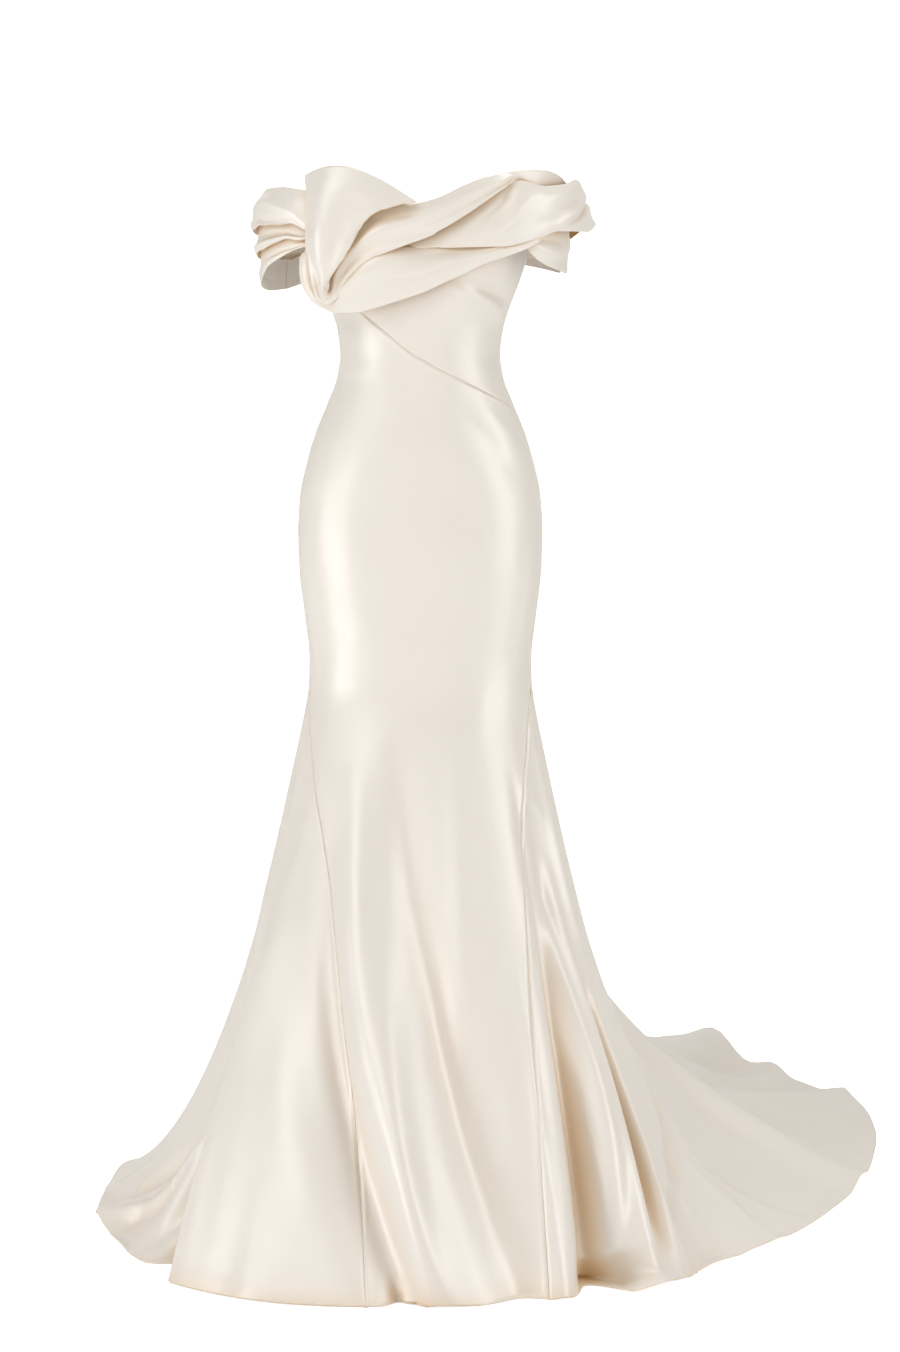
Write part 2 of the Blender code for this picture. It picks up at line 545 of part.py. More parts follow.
def make_zip(left, right, collection, helpers, root):
    """The concealed zip: its tape follows the two backs' own points on their inner side, and the
    slider sits outside at the top of the seam with a pull that hangs from a pin between two ears."""
    middle = (left[-1] + right[0]) / 2
    sides = []
    for column in (left[-2], right[1]):
        reach = TAPE_HALF_WIDTH / np.abs(column[:, 0] - middle[:, 0])
        sides.append(middle + (column - middle) * reach[:, None])
    lines = np.stack([sides[0], middle, sides[1]])
    heights = middle[:, 2]
    rows = np.concatenate([[ZIP_TOP], heights[(heights < ZIP_TOP) & (heights > ZIP_FOOT)], [ZIP_FOOT]])
    station = np.interp(-rows, -heights, np.arange(len(heights)))
    low = np.floor(station).astype(int)
    share = (station - low)[None, :, None]
    tape = lines[:, low] * (1 - share) + lines[:, low + 1] * share
    tape = moved_in(tape, WALL + SEAM_GAP)
    cloth("zip_tape", tape, collection, root, TAPE_WALL, down_first=True)

    seat = np.interp(-SLIDER_HEIGHT, -heights, middle[:, 1]) + SEAM_GAP
    wide, deep, tall = SLIDER_SIZE
    face = seat + deep
    pivot = Vector((0.0, face + EYE_RADIUS + SEAM_GAP, SLIDER_HEIGHT + EAR_RISE))

    bm = bmesh.new()
    block(bm, SLIDER_SIZE, (0.0, seat + deep / 2, SLIDER_HEIGHT))
    slider = solid("zip_slider", bm, collection, ZIP_METAL, METAL_ROUGHNESS, 1.0, (0, 0, 0), root)
    bm = bmesh.new()
    for side in (-1, 1):
        x = side * (EAR_APART + EAR_SIZE[0]) / 2
        y = face - EAR_SUNK + EAR_SIZE[1] / 2
        block(bm, EAR_SIZE, (x, y, pivot.z))
    ears = solid("slider_ears", bm, helpers, ZIP_METAL, METAL_ROUGHNESS, 1.0, (0, 0, 0), root)
    combine(slider, ears, "UNION")
    bm = bmesh.new()
    rod(bm, PIN_RADIUS, EAR_APART + EAR_SIZE[0], pivot)
    pin = solid("slider_pin", bm, helpers, ZIP_METAL, METAL_ROUGHNESS, 1.0, (0, 0, 0), root)
    combine(slider, pin, "UNION")

    bm = bmesh.new()
    corners = block(bm, PULL_SIZE, (0.0, 0.0, -PULL_SIZE[2] / 2 - EYE_BORE))
    for corner in corners:
        if corner.co.z > -PULL_SIZE[2] / 2:
            corner.co.x *= PULL_WAIST
    pull = solid("zip_pull", bm, collection, ZIP_METAL, METAL_ROUGHNESS, 1.0, pivot, root)
    bm = bmesh.new()
    rod(bm, EYE_RADIUS, PULL_SIZE[0], (0.0, 0.0, 0.0))
    combine(pull, solid("pull_eye", bm, helpers, ZIP_METAL, METAL_ROUGHNESS, 1.0, pivot, root), "UNION")
    bm = bmesh.new()
    rod(bm, EYE_BORE, 2 * EAR_APART, (0.0, 0.0, 0.0))
    combine(pull, solid("pull_bore", bm, helpers, ZIP_METAL, METAL_ROUGHNESS, 1.0, pivot, root), "DIFFERENCE")


def make_panels(collection, helpers, root):
    """The long panels, the bodice front above the diagonal seam, and the two godets."""
    front = panel_points(
        FRONT_COLUMNS,
        diagonal,
        (seam(SIDE_SEAM, -1), seam(SIDE_SEAM)),
        (seam(FRONT_SEAM_RIGHT), seam(FRONT_SEAM_LEFT)),
    )
    cloth("front_panel", front, collection, root, down_first=True)

    def bodice(angle, fall):
        foot = diagonal(angle) + 2 * SEAM_GAP
        return body_point(angle, foot + (top_edge(angle) - foot) * (1 - fall))

    sides = (lambda fall: -90.0 + 0 * fall, lambda fall: 90.0 + 0 * fall)
    grid = between_seams(bodice, *sides, FRONT_COLUMNS, np.linspace(0, 1, BODICE_ROWS + 1))
    cloth("bodice_front", grid, collection, root, down_first=True)

    centre = seam(CENTRE_BACK_SEAM)
    middle = (lambda height: 180.0 + 0 * height)
    left = panel_points(
        BACK_LEFT_COLUMNS, top_edge, (seam(SIDE_SEAM), middle), (seam(BACK_SEAM_LEFT), centre)
    )
    cloth("back_left", left, collection, root, down_first=True)
    right = panel_points(
        BACK_RIGHT_COLUMNS,
        top_edge,
        (middle, seam(SIDE_SEAM, -1, 360.0)),
        (centre, seam(BACK_SEAM_RIGHT, 1, 360.0)),
    )
    cloth("back_right", right, collection, root, down_first=True)
    make_zip(left, right, collection, helpers, root)

    stations = np.linspace(0, 1, SKIRT_ROWS + 1)
    for name, first, last in (
        ("godet_right", BACK_SEAM_RIGHT, FRONT_SEAM_RIGHT),
        ("godet_left", FRONT_SEAM_LEFT, BACK_SEAM_LEFT),
    ):
        grid = between_seams(skirt_point, seam(first), seam(last), GODET_COLUMNS, stations)
        cloth(name, grid, collection, root, down_first=True)


def make_neckline(collection, root):
    """The folded bands over the bust, the two sleeves and the back drape."""
    cloth("bust_fold", band_points(BUST_FOLD, 2, 6), collection, root)
    cloth("middle_band", band_points(MIDDLE_BAND, 2, 6), collection, root)
    cloth("lower_band", band_points(LOWER_BAND, 2, 4), collection, root)
    cloth("sleeve_left", band_points(SLEEVE_LEFT, 2, 4), collection, root)
    cloth("sleeve_right", pleated_points(SLEEVE_RIGHT, 17), collection, root, down_first=True)
    left, right = pleated_points(BACK_DRAPE_LEFT, 10), pleated_points(BACK_DRAPE_RIGHT, 10)
    cloth("back_drape_left", left, collection, root, down_first=True)
    cloth("back_drape_right", right, collection, root, down_first=True)


def main():
    for old in list(bpy.data.objects):
        bpy.data.objects.remove(old, do_unlink=True)
    collection = bpy.data.collections.new("mermaid_evening_dress")
    bpy.context.scene.collection.children.link(collection)
    root = bpy.data.objects.new("waist", None)
    root.location = (0.0, 0.0, -WAIST_HEIGHT)
    collection.objects.link(root)
    helpers = bpy.data.collections.new("helpers")
    bpy.context.scene.collection.children.link(helpers)
    make_panels(collection, helpers, root)
    make_neckline(collection, root)


main()
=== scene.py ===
import bpy
import numpy as np
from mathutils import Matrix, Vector


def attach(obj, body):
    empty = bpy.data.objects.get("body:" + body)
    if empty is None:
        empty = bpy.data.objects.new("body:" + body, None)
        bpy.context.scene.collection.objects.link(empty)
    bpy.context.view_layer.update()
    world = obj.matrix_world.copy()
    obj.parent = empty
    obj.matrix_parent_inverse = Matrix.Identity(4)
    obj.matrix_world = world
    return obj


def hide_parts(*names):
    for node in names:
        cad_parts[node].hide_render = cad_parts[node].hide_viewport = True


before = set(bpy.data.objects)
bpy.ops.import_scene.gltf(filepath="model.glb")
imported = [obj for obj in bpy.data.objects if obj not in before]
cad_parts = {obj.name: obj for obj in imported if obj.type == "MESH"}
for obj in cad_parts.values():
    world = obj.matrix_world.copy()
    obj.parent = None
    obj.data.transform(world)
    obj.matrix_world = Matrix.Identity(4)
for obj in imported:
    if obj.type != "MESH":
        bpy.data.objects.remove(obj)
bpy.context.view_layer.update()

bl_info = {
    "name": "Mermaid evening dress",
    "version": (1, 0, 0),
    "blender": (4, 5, 0),
    "location": "View3D > Sidebar > Dress",
    "description": "Builds the ivory satin mermaid gown with its draped neckline, train and zip",
    "category": "Object",
}

# Lengths are metres, heights are above the floor and angles are degrees round the body from the
# centre front, positive towards the wearer's left. The front faces -Y.
WAIST_HEIGHT = 1.19
KNEE_HEIGHT = 0.743
SEAM_GAP = 0.00004
ROUNDNESS = 2.2
FAN_HEIGHT = 1.095
FLOOR_BEND = 0.004
FLOOR_GAP = 0.0024
ANGLE_STEP = 0.05
YOKE_STEP = 0.5
METRES_PER_DEGREE = 0.0024
KNEE_SOFTNESS = 0.022
SIDE_ANGLE = 90.0
CENTRE_BACK = 180.0
FAR_AWAY = 1.0
SMALL = 1e-9

# The fitted part: height, half width, front depth, back depth
BODY_SECTIONS = (
    (0.743, 0.1515, 0.1, 0.099),
    (0.784, 0.151, 0.101, 0.104),
    (0.846, 0.1575, 0.103, 0.116),
    (0.907, 0.1645, 0.104, 0.126),
    (0.96, 0.1662, 0.103, 0.13),
    (1.009, 0.1633, 0.101, 0.127),
    (1.05, 0.155, 0.098, 0.119),
    (1.091, 0.143, 0.094, 0.107),
    (1.132, 0.1265, 0.09, 0.092),
    (1.172, 0.1118, 0.088, 0.08),
    (1.2, 0.1082, 0.088, 0.077),
    (1.233, 0.112, 0.091, 0.08),
    (1.265, 0.1215, 0.098, 0.086),
    (1.301, 0.135, 0.107, 0.092),
    (1.345, 0.147, 0.117, 0.093),
    (1.4, 0.15, 0.122, 0.088),
)
CUP_RISE = 0.01
CUP_CENTRE = 0.07
CUP_HEIGHT = 1.315
CUP_SPREAD = 0.042

# Top edge of the bodice: angle, height
TOP_EDGE = ((0, 1.393), (30, 1.402), (60, 1.385), (90, 1.356), (180, 1.348))
# Diagonal seam across the front: angle, height
DIAGONAL_SEAM = (
    (-90, 1.33), (-60, 1.288), (-38.8, 1.2535), (-22.2, 1.2288), (-12, 1.2123),
    (0, 1.1942), (12.2, 1.1794), (41.2, 1.153), (74, 1.13), (90, 1.121),
)

# The skirt: angle, hem reach, slope at the knee, length it holds, angle at the floor, length it holds
FLARE = (
    (-166, 0.98, 0.3, 0.36, 3, 0.55),
    (-150, 0.74, 0.26, 0.36, 4, 0.36),
    (-135, 0.57, 0.24, 0.36, 8, 0.24),
    (-117, 0.505, 0.23, 0.38, 12, 0.17),
    (-104, 0.474, 0.22, 0.42, 15, 0.15),
    (-91, 0.45, 0.22, 0.42, 20, 0.15),
    (-77, 0.428, 0.24, 0.4, 26, 0.15),
    (-61, 0.425, 0.3, 0.36, 48, 0.16),
    (-47, 0.45, 0.35, 0.36, 66, 0.2),
    (-30, 0.448, 0.34, 0.3, 68, 0.2),
    (0, 0.425, 0.34, 0.3, 68, 0.2),
    (25, 0.428, 0.34, 0.3, 66, 0.2),
    (43, 0.455, 0.28, 0.3, 60, 0.18),
    (61, 0.455, 0.23, 0.4, 36, 0.14),
    (79, 0.504, 0.22, 0.42, 14, 0.2),
    (91, 0.555, 0.21, 0.42, 8, 0.26),
    (101, 0.615, 0.2, 0.42, 5, 0.32),
    (118, 0.765, 0.2, 0.42, 3, 0.46),
    (132, 0.945, 0.22, 0.42, 2.5, 0.6),
    (145, 1.09, 0.25, 0.4, 2, 0.7),
    (157, 1.2, 0.3, 0.38, 2, 0.76),
    (177, 1.18, 0.34, 0.36, 2, 0.74),
)

# Folds of the skirt: share of its length where it starts, angle there, angle at the hem,
# half width there, half width at the hem (degrees), rise, share of the rise kept at the hem
FOLDS = (
    (0.3, -62, -53, 8, 4, -0.065, 1),
    (0.05, -60, -1, 12, 5, -0.02, 1),
    (0.2, -42, -28, 9, 6, 0.014, 1),
    (0.1, -26, 3, 9, 4, 0.012, 0.8),
    (0, -6, 19, 14, 6, -0.022, 1),
    (0, 46, 25, 12, 4, 0.012, 1),
    (0.15, 52, 34.5, 10, 4.6, -0.07, 1),
    (0.05, 64, 43, 10, 5, 0.024, 0.6),
    (0.35, 80, 60, 8, 6, -0.014, 1),
    (0.3, 96, 72, 9, 6, 0.014, 0.3),
    (0.25, 112, 96, 10, 6, -0.012, 0.3),
    (0.25, 122, 112, 9, 6, 0.03, 0.1),
    (0.3, 132, 126, 9, 5, -0.016, 0.3),
    (0.25, 144, 136, 9, 5.5, 0.055, 0.25),
    (0.25, 156, 147, 8, 4.5, -0.02, 0.3),
    (0.2, 170, 156, 9, 5, 0.07, 0.5),
    (0.25, 184, 165, 9, 5, -0.02, 0.3),
    (0.25, 200, 176, 9, 5.5, 0.06, 0.4),
    (0.25, 214, 192, 9, 6, -0.016, 0.3),
    (0.25, 226, 205, 9, 6, 0.045, 0.3),
    (0.25, 240, 222, 9, 6, -0.012, 0.5),
    (0.25, 252, 238, 9, 7, 0.025, 0.5),
    (0.25, 266, 256, 9, 7, -0.012, 0.5),
    (0.3, 278, 272, 9, 7, 0.016, 0.5),
    (0.3, 290, 287, 8, 5, -0.014, 0.5),
)
FOLD_DRIFT = 0.8
FOLD_GROWTH = 0.7

# Creases of the skirt: share where it starts, share where it ends, angle at each, half width at
# each (degrees), rise in metres (a ridge is positive)
SKIRT_CREASES = (
    (0, 0.7, -66, -57, 5, 4.5, 0.004),
    (0.05, 0.75, -54, -46, 4.5, 4.5, -0.003),
    (0.15, 1.02, -52, -44, 9, 8, 0.011),
    (0.15, 1.35, -43, -22, 9, 6.5, -0.011),
    (0.66, 1.04, -63, -91, 2.6, 2.6, 0.016),
    (0.66, 1, -74, -98, 2.6, 2.4, -0.012),
    (0.7, 0.97, -60, -61, 1.5, 2.2, -0.015),
    (0.5, 1.02, -46, -40, 3.5, 3, -0.004),
    (0.72, 1.12, -34, -33, 2.6, 2.8, -0.0014),
    (0.74, 1.14, -29.5, -28, 2.2, 2.4, 0.0012),
    (0.2, 1.08, -34.7, 5.5, 4.6, 3.2, -0.015),
    (0.35, 1.12, -9.5, 4, 4, 2.8, 0.012),
    (0.08, 1.1, -26, 6, 6, 4, 0.0095),
    (0.05, 1.05, -9, 22.5, 5.5, 5, -0.015),
    (0.93, 1.08, -4.5, -2.5, 1.2, 1.1, -0.011),
    (0.05, 0.6, 14, 10, 4, 3, 0.003),
    (0.3, 0.88, 2, 12, 3.6, 3.4, -0.003),
    (0.55, 1.08, 21, 14.5, 3.2, 3, 0.0025),
    (0.4, 1.05, 27.5, 24.5, 1.6, 1.5, 0.0045),
    (0, 0.55, 66, 55, 4, 3, 0.005),
    (0.2, 1.02, 53.5, 36, 3.4, 3, 0.026),
    (0.3, 1, 46, 36.5, 3, 3, 0.04),
    (0.3, 1.02, 60, 43.5, 2.4, 2.4, -0.017),
    (0.4, 1.1, 61.5, 45, 2.2, 2.4, 0.011),
    (0.5, 1.04, 66, 54, 2.2, 2.4, -0.009),
    (0.1, 1.1, 41, 31, 2.8, 2.2, -0.013),
    (0.45, 1, 40, 36.5, 2, 2, 0.018),
    (0.35, 1.02, 52, 40.5, 2.4, 2, 0.012),
    (0.35, 1.04, 57, 45.5, 2, 2.2, -0.026),
    (0.9, 1, 37.5, 37, 4.4, 4.6, -0.03),
    (0.965, 1.035, 38.5, 38.5, 5.4, 5.4, 0.032),
    (0.55, 0.98, 71, 64, 2.4, 2.4, 0.007),
    (0.3, 0.88, 108, 87, 2.6, 2.4, -0.013),
    (0.3, 0.92, 100, 79, 2.6, 2.2, 0.008),
    (0.45, 0.86, 104, 54, 2.6, 2.6, -0.01),
    (0.66, 1.08, 79, 77, 2, 2.4, 0.006),
    (0.3, 1.045, 131, 107, 3.4, 2.8, 0.042),
    (0.32, 1.045, 138.5, 114, 3.4, 3, -0.03),
    (0.45, 1.02, 132, 131, 2.2, 2, 0.02),
    (0.5, 1.02, 141, 147, 2.4, 1.9, 0.02),
    (0.5, 1.25, 137, 154.5, 2, 1.6, 0.018),
    (0.55, 1.25, 149, 159.1, 2.4, 1.9, 0.019),
    (0.6, 1.25, 156, 163, 1.9, 1.6, 0.013),
    (0.65, 1.25, 133, 142, 1.8, 1.5, 0.012),
    (0.5, 1.15, 135, 142, 2, 1.8, -0.023),
    (0.5, 1.15, 145, 155, 2, 1.8, -0.023),
    (0.5, 1, 104, 92, 2.4, 2, -0.005),
    (0.6, 1.06, 112, 106, 2, 2.2, 0.005),
    (0.4, 0.95, 176, 163, 1.8, 1.6, 0.006),
    (0.55, 1.06, 181, 170, 1.6, 2, -0.006),
    (0.45, 1, 196, 183, 2, 2, 0.006),
    (0.55, 1.05, 209, 199, 2, 2.2, 0.0065),
    (0.5, 1, 222, 212, 2, 2.2, -0.0055),
    (0.6, 1.05, 235, 228, 2, 2.4, 0.006),
    (0.72, 1.05, 251, 249, 1.6, 2.2, 0.0075),
    (0.7, 1, 262, 261, 1.8, 2, -0.006),
    (0.78, 1.06, 271, 272, 1.5, 1.8, 0.008),
    (0.75, 1.02, 283, 281, 1.6, 1.6, -0.006),
)

# Creases of the fitted part: angle and height of one end, angle and height of the other, half
# width in metres, rise, and how much wider its lower side is
BODY_CREASES = (
    (8, 1.29, 76, 1.25, 0.0085, 0.0046, 1.8),
    (14, 1.301, 80, 1.266, 0.008, -0.004, 1),
    (-70, 1.205, -30, 1.19, 0.005, -0.0009, 1.6),
    (-78, 1.185, -38, 1.172, 0.0045, 0.0008, 1.6),
    (40, 1.19, 86, 1.2, 0.005, -0.0009, 1.5),
    (30, 1.225, 84, 1.22, 0.006, 0.0009, 1.5),
    (34, 1.14, 76, 1.05, 0.012, 0.0018, 1.6),
    (20, 1.13, 60, 1.025, 0.012, -0.0016, 1.4),
    (-72, 1.15, -58, 0.98, 0.014, 0.0014, 1.2),
    (-44, 1.12, -40, 0.87, 0.018, -0.0016, 1.2),
    (-14, 1.08, -2, 0.82, 0.02, 0.0012, 1),
    (22, 1, 16, 0.79, 0.018, -0.0014, 1),
    (66, 0.96, 58, 0.76, 0.011, 0.0016, 1.3),
    (70, 0.86, 74, 0.755, 0.006, -0.0016, 1.5),
    (-72, 0.88, -66, 0.75, 0.009, 0.0014, 1.3),
    (108, 1.205, 150, 1.19, 0.006, -0.0011, 1.5),
    (116, 1.185, 165, 1.175, 0.006, 0.001, 1.5),
    (-106, 1.2, -152, 1.188, 0.006, -0.0011, 1.5),
    (-118, 1.18, -168, 1.17, 0.006, 0.001, 1.5),
    (128, 1.12, 146, 0.93, 0.016, 0.0014, 1.2),
    (-126, 1.13, -142, 0.92, 0.016, 0.0013, 1.2),
    (112, 0.9, 140, 0.79, 0.014, -0.0018, 1.3),
    (-110, 0.91, -144, 0.79, 0.014, -0.0018, 1.3),
    (150, 0.85, 168, 0.76, 0.012, 0.0016, 1.3),
    (-152, 0.86, -170, 0.76, 0.012, 0.0015, 1.3),
    (-24, 1.15, -6, 1.03, 0.03, 0.0024, 1.3),
    (-34, 1.05, -4, 0.93, 0.03, -0.0022, 1.2),
    (6, 1.12, 30, 1, 0.028, 0.002, 1.2),
    (0, 1.06, 26, 0.95, 0.026, -0.002, 1.2),
    (10, 0.99, 34, 0.88, 0.03, 0.0022, 1.3),
    (-52, 1, -30, 0.86, 0.03, 0.0018, 1.2),
    (-12, 0.92, 16, 0.8, 0.03, -0.0018, 1.2),
    (-30, 0.86, -6, 0.765, 0.03, 0.002, 1.2),
)

# Seams. Above the knee: height, angle of the side seam. Below it: share of the skirt, angle
SIDE_SEAM = ((0.743, 77.5), (0.79, 86), (0.83, 90))
FRONT_SEAM_RIGHT = (
    (0, -77), (0.035, -66), (0.13, -44.6), (0.235, -33.5), (0.36, -24.9),
    (0.49, -19.3), (0.63, -14.6), (0.795, -11.2), (1, -8.8),
)
FRONT_SEAM_LEFT = (
    (0, 77), (0.03, 64.6), (0.125, 47.7), (0.28, 36.2), (0.46, 29.6),
    (0.63, 26.5), (0.815, 24.3), (1, 23.2),
)
BACK_SEAM_RIGHT = ((0, -78.5), (0.3, -74), (1, -68))
BACK_SEAM_LEFT = ((0, 78.5), (0.3, 70), (0.635, 57), (0.815, 53), (1, 54))
CENTRE_BACK_SEAM = ((0, 180), (0.3, 177), (1, 166))

# The ring that the neckline bands follow: height, half width, front depth, back depth
YOKE_SECTIONS = (
    (1.24, 0.198, 0.108, 0.098),
    (1.29, 0.203, 0.118, 0.104),
    (1.34, 0.205, 0.127, 0.108),
    (1.45, 0.205, 0.129, 0.108),
)

# Neckline bands. Outer edge: angle, height, stand-off; inner edge: the same; crown; bow
BUST_FOLD = (
    (-43.5, 1.434, 0.012, 0.2, 1.3965, 0.01, 0.006, 0.027),
    (-43, 1.4, 0.017, -6.8, 1.391, 0.018, 0.01, 0.012),
    (-42.2, 1.366, 0.02, -12.5, 1.3835, 0.023, 0.01, 0.004),
    (-41.5, 1.34, 0.023, -17, 1.3695, 0.026, 0.008, 0),
    (-40.5, 1.318, 0.025, -20.8, 1.345, 0.027, 0.006, 0),
    (-39.3, 1.298, 0.026, -24.6, 1.322, 0.027, 0.004, 0),
    (-38, 1.281, 0.026, -28.8, 1.302, 0.025, 0.003, 0),
    (-36.3, 1.268, 0.024, -31.8, 1.288, 0.022, 0.003, 0),
    (-33, 1.2625, 0.021, -32.3, 1.283, 0.017, 0.004, 0),
    (-29.5, 1.269, 0.017, -32.6, 1.289, 0.011, 0.004, 0),
    (-26.5, 1.284, 0.014, -32.6, 1.307, 0.007, 0.004, 0),
    (-22.5, 1.303, 0.012, -29, 1.333, 0.004, 0.005, 0),
    (-15, 1.3235, 0.012, -22.5, 1.365, 0.002, 0.006, 0),
    (-7, 1.336, 0.013, -13, 1.389, -0.001, 0.008, 0),
    (1, 1.349, 0.014, -3.5, 1.3965, -0.0052, 0.009, 0),
    (8, 1.3635, 0.015, 5.5, 1.4065, -0.0055, 0.009, 0),
    (17, 1.385, 0.015, 14, 1.421, -0.001, 0.008, 0),
    (24, 1.403, 0.015, 22, 1.4315, 0.003, 0.006, 0),
    (29.5, 1.416, 0.014, 28.5, 1.4365, 0.006, 0.004, 0),
    (33.7, 1.424, 0.0092, 34, 1.44, 0.006, 0.001, 0),
    (38, 1.4225, 0.0045, 40, 1.4415, 0.004, 0.001, 0),
    (47, 1.412, 0.003, 50, 1.443, 0.003, 0.002, 0),
    (58, 1.405, 0.001, 60, 1.4395, 0.002, 0.002, 0),
    (70, 1.4, 0, 73, 1.427, 0.001, 0.002, 0),
)
MIDDLE_BAND = (
    (-9, 1.336, -0.0073, -6, 1.352, -0.0078, 0, 0),
    (4, 1.338, 0, 4, 1.372, -0.004, 0.001, 0),
    (16, 1.338, 0.005, 16, 1.398, -0.001, 0.003, 0),
    (29, 1.338, 0.008, 28, 1.423, 0.002, 0.006, 0),
    (39, 1.3435, 0.01, 37, 1.429, 0.01, 0.008, 0),
    (48, 1.3525, 0.012, 48, 1.4225, 0.013, 0.009, 0),
    (56, 1.36, 0.014, 60, 1.426, 0.015, 0.009, 0),
    (66, 1.361, 0.02, 72, 1.434, 0.014, 0.006, 0),
    (76, 1.362, 0.029, 82, 1.431, 0.0125, 0.002, 0),
    (88, 1.374, 0.034, 92, 1.419, 0.011, 0, 0),
    (100, 1.37, 0.024, 102, 1.406, 0.01, 0.002, 0),
    (115.6, 1.352, 0.016, 115.6, 1.398, 0.008, 0.004, 0),
)
LOWER_BAND = (
    (-45, 1.337, 0.002, -40, 1.346, 0.002, 0.001, 0),
    (-47.5, 1.326, 0.008, -40, 1.33, 0.006, 0.003, 0),
    (-47, 1.303, 0.012, -38.5, 1.31, 0.007, 0.004, 0),
    (-44.5, 1.281, 0.014, -37, 1.293, 0.007, 0.004, 0),
    (-41, 1.268, 0.014, -35, 1.283, 0.007, 0.004, 0),
    (-36.5, 1.2585, 0.013, -32.5, 1.28, 0.006, 0.004, 0),
    (-30, 1.2525, 0.011, -28.5, 1.29, 0.007, 0.004, 0),
    (-23, 1.2525, 0.009, -23, 1.311, 0.006, 0.005, 0),
    (-16, 1.2565, 0.007, -16, 1.333, 0.005, 0.006, 0),
    (-9, 1.264, 0.005, -9, 1.343, 0.001, 0.007, 0),
    (-1, 1.275, 0.003, -1, 1.342, -0.004, 0.007, 0),
    (7, 1.2905, 0.002, 7, 1.345, -0.005, 0.006, 0),
    (15, 1.304, 0.001, 15, 1.347, -0.005, 0.005, 0),
    (23, 1.317, 0.001, 23, 1.346, -0.001, 0.004, 0),
    (31, 1.326, 0.002, 31, 1.348, 0.002, 0.003, 0),
    (40, 1.336, 0.005, 40, 1.351, 0.006, 0.001, 0),
    (47, 1.346, 0.008, 47, 1.356, 0.0092, 0.001, 0),
)
SLEEVE_LEFT = (
    (41, 1.342, -0.001, 43, 1.354, -0.002, 0.001, 0),
    (46, 1.327, 0.001, 48, 1.366, -0.002, 0.003, 0),
    (56, 1.315, 0.001, 56, 1.376, -0.002, 0.004, 0),
    (66, 1.31, 0, 66, 1.382, -0.002, 0.003, 0),
    (76, 1.307, -0.002, 76, 1.388, -0.002, 0.001, 0),
    (90, 1.312, -0.005, 90, 1.39, -0.003, 0, 0),
    (103, 1.314, -0.001, 103, 1.388, 0.002, 0.001, 0),
    (115.4, 1.312, 0.006, 115.4, 1.384, 0.011, 0.001, 0),
)

# Pleated bands. Angle, top, edge of the first pleat, edge of the second, bottom, stand-off at the top
SLEEVE_RIGHT = (
    (-120, 1.398, 1.356, 1.324, 1.29, 0.006),
    (-105, 1.401, 1.36, 1.327, 1.287, 0.006),
    (-90, 1.407, 1.364, 1.331, 1.291, 0.0085),
    (-78, 1.414, 1.367, 1.335, 1.3, 0.011),
    (-67, 1.42, 1.37, 1.341, 1.317, 0.012),
    (-57, 1.4205, 1.3705, 1.348, 1.328, 0.01),
    (-49, 1.4175, 1.369, 1.351, 1.337, 0.008),
    (-40.5, 1.413, 1.361, 1.351, 1.343, 0.004),
)
BACK_DRAPE_RIGHT = (
    (-174, 1.392, 1.366, 1.349, 1.334, -0.0155),
    (-158, 1.394, 1.362, 1.341, 1.32, -0.005),
    (-140, 1.396, 1.358, 1.332, 1.305, 0.001),
    (-120.25, 1.398, 1.356, 1.324, 1.29, 0.006),
)
BACK_DRAPE_LEFT = (
    (115.74, 1.398, 1.362, 1.335, 1.311, 0.004),
    (140, 1.396, 1.364, 1.342, 1.324, 0.001),
    (158, 1.394, 1.366, 1.348, 1.332, -0.005),
    (174, 1.392, 1.368, 1.35, 1.334, -0.0155),
)
# Across a pleated band: which two of its four lines, share between them, rise, stand-off
PLEAT_PROFILE = (
    (0, 0, 0, 0),
    (0, 0.35, 0, 0.008),
    (0, 0.8, 0, 0.013),
    (0, 1, 0, 0.011),
    (0, 1, 0.006, 0.004),
    (1, 0.3, 0, 0.005),
    (1, 0.75, 0, 0.009),
    (1, 1, 0, 0.007),
    (1, 1, 0.005, 0.001),
    (2, 0.35, 0, 0.002),
    (2, 0.75, 0, 0.004),
    (2, 1, 0, 0.003),
)

# Creases of a band, in shares of its length and width: where one end is along and across, where
# the other end is, half width across, rise in metres, and how much wider its inner side is
BUST_FOLD_CREASES = (
    (-0.04, 0.26, 0.24, 0.34, 0.15, 0.006, 1.3),
    (0.02, 0.66, 0.24, 0.62, 0.15, -0.005, 1.2),
    (0.12, 0.12, 0.36, 0.34, 0.11, -0.0036, 1.4),
    (0.2, 0.45, 0.38, 0.6, 0.13, 0.004, 1.3),
    (0.4, 0.66, 0.72, 0.34, 0.12, 0.005, 1.8),
    (0.4, 0.36, 0.66, 0.1, 0.11, -0.0036, 1.2),
    (0.46, 0.9, 0.8, 0.62, 0.11, -0.0044, 1.6),
    (0.58, 0.74, 0.88, 0.42, 0.11, 0.0036, 1.4),
    (0.52, 0.48, 0.8, 0.22, 0.08, -0.0028, 1.4),
    (0.66, 0.22, 0.9, 0.2, 0.1, -0.0016, 1.3),
)
MIDDLE_BAND_CREASES = (
    (0.2, 0.1, 0.46, 0.92, 0.07, 0.003, 3),
    (0.17, 0.3, 0.36, 0.98, 0.09, -0.003, 1.2),
    (0.34, 0.28, 0.66, 0.34, 0.13, -0.003, 1.4),
    (0.36, 0.8, 0.68, 0.74, 0.12, 0.0034, 1.2),
    (0.42, 0.56, 0.72, 0.52, 0.1, -0.0024, 1.4),
    (0.52, 0.12, 0.8, 0.88, 0.055, 0.0042, 2.6),
    (0.56, 0.06, 0.84, 0.76, 0.06, -0.004, 1),
    (0.74, 0.5, 0.99, 0.46, 0.1, 0.003, 1.3),
    (0.78, 0.22, 0.99, 0.2, 0.09, -0.0028, 1.3),
)
